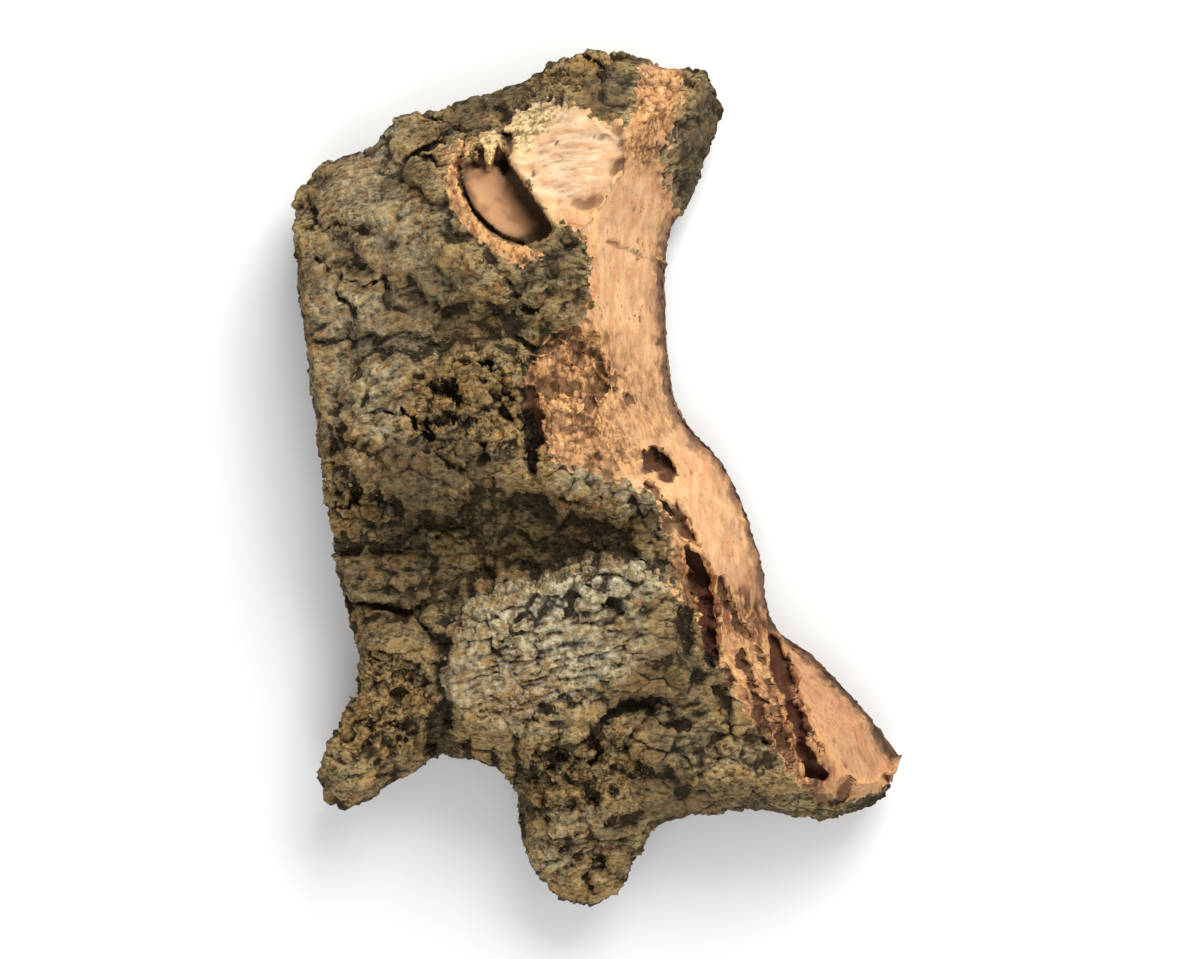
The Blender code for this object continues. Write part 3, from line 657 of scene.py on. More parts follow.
def under_height(x, y):
    """A sine across the slab with a wandering phase, lifted near the rim, levelled to nothing
    round each of the three rests."""
    wander = RIDGE_WANDER * rough(x, y, RIDGE_WANDER_SIZE, 61)
    ridge = np.sin(2 * math.pi * (x / RIDGE_SPACING + wander))
    rim = np.minimum.reduce([distance_to(x, y, edge.points) for edge in (LEFT, TOP, RIGHT, BOTTOM)])
    lift = RIM_LIFT * (1 - smooth_step(rim, RIM_LIFT_START, RIM_LIFT_END))
    height = np.maximum(BELLY_RISE + BELLY_RIDGE * ridge + lift, BELLY_LEAST)
    height = height + BELLY_RELIEF * (1 + rough(x, y, BELLY_BUMP, 71))
    for middle in RESTS:
        away = np.hypot(x - middle[0], y - middle[1])
        away = away + REST_WANDER * noise(x, y, REST_WANDER_SIZE, 131)
        height = height * smooth_step(away, REST_RADIUS, REST_RADIUS + REST_FADE)
    return height


print("underside at the middle, mm:", under_height(middle, middle).round(1)[0])

# %% [markdown]
# ## One closed skin
# The skin is a grid on the outer face, a band of rows down the sides and a grid underneath,
# all joined along the rims, so it has no open edge. Every vertex keeps its shares across and
# along the slab and its level: 0 on the outer face, 1 underneath.
# %% Grid
ACROSS, ALONG = ((430, 600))
SIDE_ROWS = 14

grid = np.arange((ACROSS + 1) * (ALONG + 1)).reshape(ACROSS + 1, ALONG + 1)
rim = np.concatenate([grid[:-1, 0], grid[-1, :-1], grid[:0:-1, -1], grid[0, :0:-1]])
share_u = np.repeat(np.linspace(0, 1, ACROSS + 1), ALONG + 1)
share_v = np.tile(np.linspace(0, 1, ALONG + 1), ACROSS + 1)
face_count = len(share_u)
side = face_count + np.arange(SIDE_ROWS * len(rim)).reshape(SIDE_ROWS, len(rim))
under = face_count + side.size + grid
rings = np.vstack([rim, side, face_count + side.size + rim])


def face_quads(numbers):
    """The four corners of every square of a grid, in the order that faces up."""
    turns = [numbers[:-1, :-1], numbers[1:, :-1], numbers[1:, 1:], numbers[:-1, 1:]]
    return np.stack(turns, axis=-1).reshape(-1, 4)


onwards = np.roll(rings, -1, axis=1)
side_quads = np.stack([rings[:-1], rings[1:], onwards[1:], onwards[:-1]], axis=-1).reshape(-1, 4)
quads = np.vstack([face_quads(grid), side_quads, face_quads(under)[:, ::-1]])
print("skin before thinning:", 2 * len(quads), "triangles")

# %% [markdown]
# The sides join the two faces. Their rows step in and out with the cork's yearly layers and
# draw in towards the underside, by shares of the slab's own width and length.
# %% Places of the skin
UNDERCUT, LAYER_STEP, LAYER_HEIGHT, LAYER_DRIFT, LAYER_DRIFT_SIZE = 0.06, 0.012, 4.4, 0.5, 16.0


def inset_plan(u, v, inset):
    """The plan drawn in towards its middle by a share of its size."""
    return plan_at(0.5 + (u - 0.5) * (1 - inset), 0.5 + (v - 0.5) * (1 - inset))


top_x, top_y = plan_at(share_u, share_v)
top_z, inwards, in_crack = outer_height(top_x, top_y)
under_x, under_y = inset_plan(share_u, share_v, UNDERCUT)
under_z = under_height(under_x, under_y)

level = np.repeat(np.arange(1, SIDE_ROWS + 1) / (SIDE_ROWS + 1), len(rim))
rim_u, rim_v = np.tile(share_u[rim], SIDE_ROWS), np.tile(share_v[rim], SIDE_ROWS)
side_z = np.tile(top_z[rim], SIDE_ROWS) * (1 - level) + np.tile(under_z[rim], SIDE_ROWS) * level
rim_x, rim_y = np.tile(top_x[rim], SIDE_ROWS), np.tile(top_y[rim], SIDE_ROWS)
drift = LAYER_DRIFT * noise(rim_x, rim_y, LAYER_DRIFT_SIZE, 81)
layer = np.sin(2 * math.pi * (side_z / LAYER_HEIGHT + drift))
inset = UNDERCUT * level + LAYER_STEP * (1 + layer) * level * (1 - level) * 4
side_x, side_y = inset_plan(rim_u, rim_v, inset)
skin = np.column_stack([
    np.concatenate([top_x, side_x, under_x]),
    np.concatenate([top_y, side_y, under_y]),
    np.concatenate([top_z, side_z, under_z]),
])
print("skin, mm:", skin.min(axis=0).round(1), skin.max(axis=0).round(1))

# %% [markdown]
# ## Where each finish lies
# Each finish is a share from 0 to 1 at every vertex. A patch is a soft oval, and its border is
# broken up by noise. Weathered crust and fresh cork meet along a sharp torn line, so the fresh
# area has an outline of its own: the scar by the pocket, the crumbly strip beside it, and the
# band that widens to the wedge at the lower right.
# %% Fresh outline
FRESH = (
    (-12.4, 50.4), (-9.6, 52.0), (-5.0, 51.8), (-1.6, 50.4), (2.6, 48.4), (4.2, 49.0),
    (5.0, 53.0), (6.2, 58.5), (10.6, 60.0), (11.4, 54.0), (9.6, 47.0), (8.8, 42.4),
    (10.4, 39.0), (12.0, 36.0), (18.0, 32.0), (16.0, 12.0), (24.0, 4.0), (29.0, -8.0),
    (29.0, -16.0), (40.0, -24.0), (50.0, -38.0), (40.0, -43.0), (32.0, -45.0), (28.0, -42.2),
    (22.8, -36.2), (18.8, -29.6), (15.4, -23.6), (12.6, -18.2), (9.4, -12.6), (9.4, -7.0),
    (6.6, -1.6), (0.0, 0.6), (-5.8, 2.4), (-8.6, 6.6), (-10.6, 14.0), (-6.2, 19.8), (-1.4, 23.4),
    (-1.2, 31.0), (-2.8, 34.2), (-6.8, 35.6), (-12.6, 44.2),
)
OUTLINE_FINENESS = 240


def inside_by(x, y, outline, reach):
    """How far each place is inside a closed outline: the distance to its line, which is
    negative for the places from where a ray to the right crosses it an even number of times."""
    ring = np.array(outline + outline[:1])
    line = curve_through(ring, OUTLINE_FINENESS)
    crossings = np.zeros(len(x), bool)
    for (start_x, start_y), (end_x, end_y) in zip(line, line[1:]):
        if start_y == end_y:
            continue
        spans = (start_y > y) != (end_y > y)
        meets = start_x + (y - start_y) * (end_x - start_x) / (end_y - start_y)
        crossings ^= spans & (x < meets)
    away = distance_to(x, y, ring, reach)
    return np.where(crossings, away, -away)


print("fresh outline:", len(FRESH), "points")

# %% [markdown]
# The patches say where each kind of bark was seen. Torn cork is coarse and brown, grey is old
# crust that the weather bleached, and gold is where crumbs broke away not long ago.
# %% Torn, grey and golden patches
TORN = (
    Patch((7.6, 50.4), (3.6, 10.0), -16, 1.0),
    Patch((-3.4, 14.4), (9.4, 7.6), -30, 1.0),
    Patch((6.4, 11.4), (6.0, 5.6), -14, 0.6),
    Patch((-1.4, 5.6), (9.0, 5.0), -22, 0.9),
    Patch((12.6, -14.6), (4.6, 5.4), 20, 0.9),
    Patch((20.6, -19.6), (6.0, 3.6), -20, 0.8),
    Patch((22.4, -28.4), (4.4, 9.8), 22, 0.7),
)
GREY = (
    Patch((-6.0, -16.6), (15.0, 4.4), 16, 1.0),
    Patch((-8.0, -25.0), (14.0, 8.0), 14, 0.8),
    Patch((2.0, -1.2), (9.0, 2.4), -18, 0.5),
    Patch((-31.0, 10.0), (7.0, 10.0), 12, 0.3),
    Patch((-31.0, 26.0), (9.0, 15.0), 8, 0.35),
    Patch((-3.0, -51.0), (7.0, 6.0), 0, 0.35),
    Patch((-30.0, 44.0), (7.0, 3.4), 32, 0.35),
)
GOLD = (
    Patch((-17.6, 9.6), (10.4, 8.0), 8, 1.0),
    Patch((-5.6, 6.2), (8.6, 3.6), -24, 0.9),
    Patch((-15.9, 45.6), (1.9, 2.8), 0, 1.0),
    Patch((-30.0, -31.6), (7.4, 7.6), -14, 0.9),
    Patch((-1.4, -40.8), (9.6, 5.0), 14, 0.9),
    Patch((-33.6, 0.0), (5.0, 9.0), 0, 0.7),
    Patch((-18.0, 49.0), (11.0, 2.6), 24, 0.6),
    Patch((-4.0, 57.0), (7.0, 3.4), 8, 0.7),
    Patch((-36.0, 35.0), (4.6, 4.0), 0, 0.5),
    Patch((-9.0, -30.6), (11.0, 2.4), 12, 0.7),
    Patch((18.6, -42.0), (7.0, 3.0), -5, 0.5),
    Patch((-4.0, -53.0), (7.0, 5.4), 0, 0.5),
)
print("patches:", len(TORN), "torn,", len(GREY), "grey,", len(GOLD), "golden")

# %% [markdown]
# The fresh cork is rosier low down and at the very top, and has dark streaks beside its fissures. Dark
# patches are mostly painted shade, on ground that lies in shadow: the furrow, the underside of the boss,
# the low mound at the left and the steep top rims. The others simply darken the crust.
# %% Rosy, streaky and dark patches
ROSY = (
    Patch((31.0, -34.0), (15.0, 10.0), -45, 1.0),
    Patch((19.0, -18.0), (7.0, 7.0), 0, 0.8),
    Patch((7.6, 51.0), (4.0, 8.0), -16, 0.8),
    Patch((-4.0, 15.0), (9.0, 7.0), -30, 0.5),
)
STREAKY = (
    Patch((26.8, -32.4), (2.0, 8.6), 15, 1.0),
    Patch((22.6, -34.0), (1.6, 5.6), 25, 0.6),
    Patch((14.8, -18.6), (2.8, 7.0), 10, 1.0),
    Patch((27.6, -41.6), (4.6, 2.6), 0, 0.8),
    Patch((20.4, -19.0), (5.0, 3.6), -30, 0.85),
)
SHADE_AND_DARK_PATCHES = (
    Patch((-16.0, 51.0), (9.6, 1.9), 22, 0.9),
    Patch((-26.4, 41.4), (5.6, 2.2), 46, 0.5),
    Patch((1.2, 53.4), (3.0, 4.0), 6, 0.9),
    Patch((-22.6, 24.0), (4.6, 6.0), 20, 0.6),
    Patch((-7.6, 29.0), (5.0, 4.4), 30, 0.5),
    Patch((14.2, 46.0), (3.4, 10.4), -12, 1.0),
    Patch((-28.0, -14.0), (10.0, 9.0), 12, 0.45),
    Patch((-18.0, 11.0), (9.0, 6.0), 8, 0.28),
    Patch((-12.0, -8.0), (22.0, 7.0), 10, 0.25),
    Patch((12.6, -27.0), (6.6, 8.0), 40, 0.5),
    Patch((8.6, -31.0), (4.4, 6.0), 0, 0.6),
    Patch((-23.4, 1.6), (9.6, 4.6), 6, 1.0),
    Patch((-26.0, -4.6), (8.0, 3.4), 4, 0.7),
    Patch((-28.6, 19.6), (4.6, 4.6), 0, 0.5),
    Patch((8.4, -40.6), (4.4, 6.0), 10, 0.7),
    Patch((17.0, -44.6), (8.0, 2.6), -4, 0.6),
)


print("patches:", len(ROSY), "rosy,", len(STREAKY), "streaky,", len(SHADE_AND_DARK_PATCHES), "shade_and_dark")

# %% [markdown]
# A finish ends where a crumb ends. So crumbs in two sizes are drawn first, in a space that
# wanders a little, and each crumb's own number moves the borders on it in or out as a whole.
# %% Crumbs that decide the borders
CRUMB, BIT = 1.5, 0.85
wandered = skin + 0.8 * np.column_stack([solid_noise(skin, 2.6, seed) for seed in (5, 6, 7)])
inside_crumb, own_crumb = crumbs(wandered * (1.0, 0.85, 1.0), CRUMB, 311)
inside_bit, own_bit = crumbs(wandered * (1.0, 1.3, 1.0), BIT, 312)
by_crumb = own_crumb - 0.5 + 0.6 * (own_bit - 0.5)
print("borders move by crumbs, from", by_crumb.min().round(2), "to", by_crumb.max().round(2))

# %% [markdown]
# Now every vertex gets its shares. The pocket and its lip go by the oval, the fresh cork by its
# outline, and the others by their patches. The underside is never fresh.
# %% Shares of the finishes
all_x, all_y, all_z = skin.T
on_outer = np.concatenate([np.ones(face_count), 1 - level, np.zeros(face_count)])
inwards_all = np.concatenate([inwards, np.tile(inwards[rim], SIDE_ROWS), inwards])
shade_and_dark = patch_share(all_x, all_y, SHADE_AND_DARK_PATCHES, 1.2, 201)
scar = patch_share(all_x, all_y, SCAR, 0.8, 211)
torn = patch_share(all_x, all_y, TORN, 1.8, 221)
grey = patch_share(all_x, all_y, GREY, 1.8, 241)
gold = patch_share(all_x, all_y, GOLD, 1.8, 251)
pocket_share, pocket_across = pocket_depth(all_x, all_y)[1:]
past_cut = smooth_step(-left_of(all_x, all_y, CUT_EDGE), 0, 0.5)
pocket = (1 - smooth_step(pocket_share, 0.95, 1.0)) * (on_outer > 0.99) * past_cut
teeth = np.maximum.reduce([tooth_share(all_x, all_y, tooth) for tooth in TEETH])
pocket = pocket * (1 - teeth)
lip_edge = pocket_share + 0.08 * rough(all_x, all_y, 2.4, 231) + 0.22 * by_crumb
lip = smooth_step(pocket_share, 1.0, 1.05) * (1 - smooth_step(lip_edge, 1.30, 1.36))
lip = lip * smooth_step(-pocket_across + 2.0 * by_crumb, 0.9, 1.5) * (on_outer > 0.99)
fresh_inside = inside_by(all_x, all_y, FRESH, 6.0) + 0.35 * rough(all_x, all_y, 2.6, 235) + 1.3 * by_crumb
fresh_area = smooth_step(fresh_inside, -0.15, 0.15) * (1 - pocket)
fresh_area[side.size + face_count:] = 0
fresh = np.maximum(fresh_area, lip)
TOOTH_CRUST = (Patch((-15.1, 46.0), (1.5, 3.0), 0, 1.0),)
tooth_crust = patch_share(all_x, all_y, TOOTH_CRUST, 0.5, 263) * (on_outer > 0.99)
fresh = np.maximum(fresh, tooth_crust)
scar = scar * fresh_area
crust_line = all_y - 0.9 * all_x + 1.6 * rough(all_x, all_y, 2.6, 257) + 3.0 * by_crumb
crust = np.maximum(scar * smooth_step(crust_line, 54.6, 55.4), tooth_crust)
streak = patch_share(all_x, all_y, STREAKY, 1.2, 259) * fresh_area
print("fresh share of the outer face:", round(float(fresh[:face_count].mean()), 3))

# %% [markdown]
# ## Crumbs, fibres and layers
# Cork doesn't weather smooth. It parts into crumbs at every scale, and a crumb stands out
# along the surface's own direction, not straight up, so cliffs are crumbly too. The crumbs
# are drawn in space, so nothing stretches. Long crumbs lying one way make fibres, and flat
# ones make layers.
# %% Outward directions
def outward(points, corners):
    """Each vertex's outward direction: the sum of its squares' own, found as the cross product
    of their diagonals, made one long."""
    first, second, third, fourth = (points[corners[:, number]] for number in range(4))
    facing = np.cross(third - first, fourth - second)
    total = np.empty_like(points)
    for axis in range(3):
        total[:, axis] = np.bincount(
            corners.T.ravel(), np.tile(facing[:, axis], 4), minlength=len(points))
    return total / np.maximum(np.linalg.norm(total, axis=1), 1e-12)[:, None]


def blurred(values, cells):
    """A map's mean over a square of cells, by running sums along both of its sides."""
    result = values
    for axis in (0, 1):
        padded = np.concatenate([np.repeat(np.take(result, [0], axis), cells + 1, axis), result,
                                 np.repeat(np.take(result, [-1], axis), cells, axis)], axis)
        total = np.cumsum(padded, axis)
        width = 2 * cells + 1
        size = result.shape[axis]
        ahead = np.take(total, range(width, width + size), axis)
        result = (ahead - np.take(total, range(size), axis)) / width
    return result


def hollow(values, millimetres):
    """How much lower each place is than its surroundings, as a map of the outer face."""
    cells = max(1, round(millimetres * ALONG / (2 * HALF_LENGTH)))
    height_map = values.reshape(grid.shape)
    return (blurred(blurred(height_map, cells), cells) - height_map).ravel()


print("a cell of the skin is", round(2 * HALF_LENGTH / ALONG, 2), "mm long")

# %% [markdown]
# The relief's strength goes by the finish. The pocket is almost smooth, the smooth part of
# the break has fine grain only, the torn parts are coarse, and weathered bark is coarsest.
# Each layer of noise below has a weight and a size in millimetres, and a seed of its own so
# that no two layers rise and fall together.
# %% Relief along the surface
CHIP, GRAIN = 3.6, 0.62
ragged_edge = 1 - smooth_step(inwards_all + 0.9 * rough(all_x, all_y, 2.2, 247), 0.6, 2.6)
torn_all = np.maximum(np.maximum(torn, 0.7 * ragged_edge) * fresh_area, lip) * on_outer
smooth_fresh = np.clip(fresh - torn_all, 0, 1) * on_outer
weathered = 1 - np.maximum(fresh, pocket)
on_side = np.concatenate([np.zeros(face_count), np.ones(side.size), np.zeros(face_count)])
bark_share = np.clip(weathered + 0.75 * torn_all + 0.12 * scar + 0.5 * crust, 0, 1)
bark_share = bark_share * np.maximum(0.3 + 0.7 * on_outer, 0.55 * on_side)
near_pocket = 1 - smooth_step(pocket_share, 1.0, 1.5) * (on_outer > 0.99)
bark_share = bark_share * (1 - 0.5 * (pocket_share < 1.5) * near_pocket * (1 - lip))
facing = outward(skin, quads)
clouds = 0.36 * solid_noise(skin, 2.4, 401) + 0.24 * solid_noise(skin, 1.2, 402)
grain = 0.22 * solid_noise(skin, GRAIN, 403) + 0.12 * solid_noise(skin, GRAIN * 0.55, 404)
creases = -0.55 * np.abs(solid_noise(wandered, 2.9, 405)) ** 0.6

inside_chip, own_chip = crumbs(wandered * (0.72, 1.15, 1.3), CHIP, 301)
open_joint = np.clip(0.5 + 0.9 * solid_noise(skin, 9.0, 406), 0.1, 1)
chips = 0.8 * (own_chip - 0.5) * smooth_step(inside_chip, 0, 0.12)
chips = chips - 0.6 * open_joint * (1 - smooth_step(inside_chip, 0, 0.13))
crumbly = 0.55 * (own_crumb - 0.5) + 0.4 * (smooth_step(inside_crumb, 0, 0.35) - 0.7)
crumbly = crumbly + 0.3 * (own_bit - 0.5) + 0.22 * (smooth_step(inside_bit, 0, 0.35) - 0.7)
missing = (own_crumb < 0.14) * smooth_step(inside_crumb, 0.04, 0.3)
lumps = 0.9 * (own_chip - 0.5) + 1.1 * (smooth_step(inside_chip, 0, 0.5) - 0.6)
print("chips, mm:", chips.min().round(2), "to", chips.max().round(2))
print("crumbs, mm:", crumbly.min().round(2), "to", crumbly.max().round(2))

# %% [markdown]
# The upper left plate is fibrous: its crumbs lie along one slanting direction. On the grey
# plate and the fringe below it the cork's layers come out as fine lines across the slab.
# %% Fibres and layers
def fibre_way(degrees):
    """The direction of fibres that lie at this angle to the slab's width."""
    return np.array([math.cos(math.radians(degrees)), math.sin(math.radians(degrees)), 0])


def fibres_at(degrees, seed):
    """Ridges and grooves that are long in one direction: noise in a space that is squeezed
    along it, less a crease wherever that noise crosses nothing."""
    way = fibre_way(degrees)
    lengthwise = wandered - 0.72 * (wandered @ way)[:, None] * way
    ridges = 0.34 * solid_noise(lengthwise, 1.1, seed) + 0.2 * solid_noise(lengthwise, 0.6, seed + 1)
    return ridges - 0.4 * np.abs(solid_noise(lengthwise, 1.5, seed + 2)) ** 0.6


fibres, torn_fibres, streak_fibres = fibres_at(25, 321), fibres_at(-38, 331), fibres_at(-74, 341)
FIBROUS = (Patch((-31, 24), (12, 20), 8, 1.0), Patch((-22, 44), (12, 6), 30, 0.7))
LAYERED = (Patch((-7.0, -25.6), (15.0, 7.0), 14, 1.0), Patch((-1.0, -50.6), (9.0, 7.6), 0, 1.0))
in_fibres = patch_share(all_x, all_y, FIBROUS, 2.0, 261) * weathered
in_layers = np.maximum(patch_share(all_x, all_y, LAYERED, 1.0, 271), 1 - on_outer) * (1 - pocket)
layer_phase = all_z * 0.35 + all_y * 0.95 - 0.2 * all_x + 0.8 * solid_noise(skin, 4.0, 351)
lines = np.sin(2 * math.pi * layer_phase / 0.95) + 0.5 * np.sin(2 * math.pi * layer_phase / 0.53 + 1.7)
scale_phase = (0.24 * all_x - 0.97 * all_y + 1.3 * solid_noise(skin, 5.0, 353)) / 2.6 + 1.3 * own_chip
scales = 0.7 * (scale_phase - np.floor(scale_phase)) ** 1.5 - 0.25
print("share with fibres:", in_fibres.mean().round(3), " with layers:", in_layers.mean().round(3))

# %% [markdown]
# The relief is the sum of all these, each by its own share. Chips and creases make the coarse
# part, crumbs the middle one and grain the finest. Fresh cork also lies lower than the crust
# round it, because the crust broke off there.
# %% All the relief
crest = patch_share(all_x, all_y, GREY[:1], 1.8, 241)
plain = 1 - np.maximum(in_fibres * 0.8, in_layers * 0.5)
crumb_share = 0.3 + 0.9 * gold + 0.5 * torn_all + 0.3 * crest + 0.7 * crust
crumb_share = np.clip(crumb_share - 0.4 * in_fibres - 0.3 * in_layers, 0, 1)
coarse = plain * (1 - 0.9 * torn_all - 0.9 * crust)
relief = bark_share * (
    coarse * (chips + creases) + (1 - 0.45 * in_fibres) * clouds + (1 + 0.7 * torn_all) * grain
    + crumb_share * crumbly + 1.3 * in_fibres * fibres + 0.9 * torn_all * torn_fibres
    + (0.13 + 0.2 * on_side) * lines * in_layers + 0.3)
relief = relief + weathered * on_outer * (in_layers * scales + 0.8 * crest * lumps - 1.5 * gold * missing)
relief = relief + 1.3 * streak * streak_fibres + 0.07 * scar * (1 - crust) * lines
relief = relief + smooth_fresh * (
    0.1 * solid_noise(skin, 0.7, 407) + 0.2 * solid_noise(skin, 2.4, 361) + 0.22 * torn_fibres)
relief = relief + pocket * (0.16 * solid_noise(skin, 2.6, 411) + 0.06 * solid_noise(skin, 0.9, 412))
crust_drop = smooth_step(fresh_inside, -0.3, 0.9) * on_outer * (1 - pocket) * (pocket_share > 1.0)
crust_drop = (0.7 - 0.5 * scar) * crust_drop
print("relief, mm:", relief.min().round(2), relief.max().round(2))

# %% [markdown]
# Fresh cork has lenticels, the dark pores that the bark breathes through. They are pits half
# a millimetre to a millimetre wide, scattered unevenly.
# %% Pits
PIT_SPACING, PIT_RARITY, PIT_DEPTH = 1.7, 0.68, 0.4
pit_inside, pit_own = crumbs(skin * (1.0, 0.8, 1.0), PIT_SPACING, 371, 0.7)
pit_heart = smooth_step(pit_inside, 0.5, 0.72) * (pit_own > PIT_RARITY)
pits = pit_heart * np.clip(fresh - 0.3, 0, 1) * smooth_step(solid_noise(skin, 7.0, 381), -0.35, 0.3)
relief = relief - PIT_DEPTH * pits
skin = skin + facing * (relief - crust_drop)[:, None]
skin[:, 2] = np.maximum(skin[:, 2], 0)
LEVEL_GROUND = 0.02
resting = np.zeros(len(skin), bool)
resting[under.ravel()] = under_z < LEVEL_GROUND
skin[resting, 2] = 0
print("skin with relief, mm:", skin.min(axis=0).round(1), skin.max(axis=0).round(1))

# %% [markdown]
# Painted light and shade follow how much lower each place lies than its surroundings. Two maps say how low:
# a wide one for furrow and gaps, which gets a paler painted light, and a narrow one, with the crumbs' own
# relief, for the grain, where gaps get painted shade with some dust.
# %% Recesses
WIDE, NARROW = 6.0, 1.2
wide_hollow = np.zeros(len(skin))
wide_hollow[:face_count] = hollow(skin[:face_count, 2], WIDE)
near_hollow = np.zeros(len(skin))
near_hollow[:face_count] = hollow(skin[:face_count, 2], NARROW)
# The recess share carries the paler painted light of the furrow.
recess = smooth_step(wide_hollow, 1.2, 6.0)
# The gap share sets painted shade with some dust in the gaps between crumbs, and a painted highlight on
# their tops.
gap = np.clip(0.5 + 0.9 * near_hollow - 0.7 * relief, 0, 1)
gap = np.where(on_outer > 0.99, gap, np.clip(0.5 - 0.9 * relief, 0, 1))
shares = {
    "fresh": fresh,
    "torn": torn_all,
    "scar": scar,
    "rosy": patch_share(all_x, all_y, ROSY, 1.5, 255),
    "crust": crust,
    "streak": streak,
    "pocket": pocket,
    "grey": grey * weathered * on_outer,
    "gold": gold * weathered * on_outer,
    # The dark share is mostly painted shade over ground that lies in shadow; the rest darkens the crust.
    "shade_and_dark": shade_and_dark * on_outer,
    "recess": recess,
    "gap": gap,
    "pits": pits,
    "crack": np.concatenate([np.clip(in_crack / 1.6, 0, 1), np.zeros(len(skin) - face_count)]),
    "belly": 1 - on_outer,
    # The foot share is painted shade along the bottom of the break.
    "foot": (1 - smooth_step(inwards_all + 0.8 * rough(all_x, all_y, 2.4, 245), 0.3, 1.5)) * fresh,
}
print({name: round(float(values.mean()), 3) for name, values in shares.items()})

# %% [markdown]
# ## From grid to mesh
# The full grid has over a million triangles, most of them where nothing happens. A Decimate
# modifier keeps those that carry form. It also blends the finish shares, which ride along as
# attributes of the mesh.
# %% Skin mesh
TRIANGLES = 192000


def mesh_of(name, points, corners, shares_of_points):
    """A mesh in metres from places in millimetres and equal-sided faces, with one number
    attribute for each share."""
    mesh = bpy.data.meshes.new(name)
    mesh.vertices.add(len(points))
    mesh.vertices.foreach_set("co", (points * MM).astype(np.float32).ravel())
    sides = corners.shape[1]
    mesh.loops.add(corners.size)
    mesh.loops.foreach_set("vertex_index", corners.astype(np.int32).ravel())
    mesh.polygons.add(len(corners))
    mesh.polygons.foreach_set("loop_start", np.arange(0, corners.size, sides, dtype=np.int32))
    mesh.update(calc_edges=True)
    for share_name, values in shares_of_points.items():
        attribute = mesh.attributes.new(share_name, "FLOAT", "POINT")
        attribute.data.foreach_set("value", values.astype(np.float32))
    mesh.validate()
    return mesh


def thinned(mesh, triangles):
    """The mesh after a collapsing Decimate down to about this many triangles, which may put a
    vertex a hair below the table, so that is lifted."""
    holder = bpy.data.objects.new(mesh.name, mesh)
    bpy.context.scene.collection.objects.link(holder)
    thin = holder.modifiers.new("thin", "DECIMATE")
    thin.ratio = triangles / (2 * len(mesh.polygons))
    ready = holder.evaluated_get(bpy.context.evaluated_depsgraph_get())
    result = bpy.data.meshes.new_from_object(ready)
    bpy.data.objects.remove(holder)
    places = np.empty(len(result.vertices) * 3, np.float32)
    result.vertices.foreach_get("co", places)
    places[2::3] = np.maximum(places[2::3], 0)
    result.vertices.foreach_set("co", places)
    result.update()
    result.shade_smooth()
    return result


slab_mesh = thinned(mesh_of("slab_full", skin, quads, shares), TRIANGLES)
slab = bpy.data.objects.new("weathered_slab", slab_mesh)
bpy.context.scene.collection.objects.link(slab)
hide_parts(NODE)
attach(slab, "root")
print("slab:", len(slab_mesh.polygons), "faces")

# %% [markdown]
# ## Loose crumbs and flakes
# A handful of cork dust clings to every slab. Each crumb is an icosahedron whose twelve
# corners are pushed in and out at random, pressed flat, left unsmoothed and sunk into the skin.
# On the fibrous plate they are long flakes instead. Where one sits is drawn from the skin's own
# vertices, so they gather where the bark is rough, and each takes the finish of its place.
# %% Icosahedron
GOLDEN = (1 + math.sqrt(5)) / 2
signs = [(a, b) for a in (-1, 1) for b in (-1, 1)]
corners = np.array([(0, a, b * GOLDEN) for a, b in signs] + [(a, b * GOLDEN, 0) for a, b in signs]
                   + [(b * GOLDEN, 0, a) for a, b in signs]) / math.hypot(1, GOLDEN)
NEIGHBOURS = 1.1
apart = np.linalg.norm(corners[:, None] - corners, axis=2)
triples = [(a, b, c) for a in range(12) for b in range(a) for c in range(b)
           if max(apart[a, b], apart[b, c], apart[a, c]) < NEIGHBOURS]
crumb_faces = np.array([
    (a, b, c) if np.linalg.det(corners[[a, b, c]]) > 0 else (a, c, b) for a, b, c in triples])
print("a crumb has", len(crumb_faces), "faces")

# %% [markdown]
# The crumbs sit on the thinned skin, so its places, directions and shares are read back first.
# Small pieces that would reach the table are kept away from it.
# %% The thinned skin's own numbers
vertex_count = len(slab_mesh.vertices)
places = np.empty(vertex_count * 3, np.float32)
slab_mesh.vertices.foreach_get("co", places)
places = places.reshape(-1, 3) / MM
normals = np.empty(vertex_count * 3, np.float32)
slab_mesh.vertices.foreach_get("normal", normals)
normals = normals.reshape(-1, 3)


def share_at_vertices(name):
    """A finish share as it is on the thinned skin."""
    values = np.empty(vertex_count, np.float32)
    slab_mesh.attributes[name].data.foreach_get("value", values)
    return values


skin_shares = {name: share_at_vertices(name) for name in shares}
print("thinned skin:", vertex_count, "vertices")

# %% [markdown]
# One call makes one mesh of many crumbs. Each takes its host vertex's shares, so a crumb on
# golden bark is golden, and only its shade is its own.
# %% Scatter
SMALLEST_CLEAR, LOWEST = 1.0, 0.05


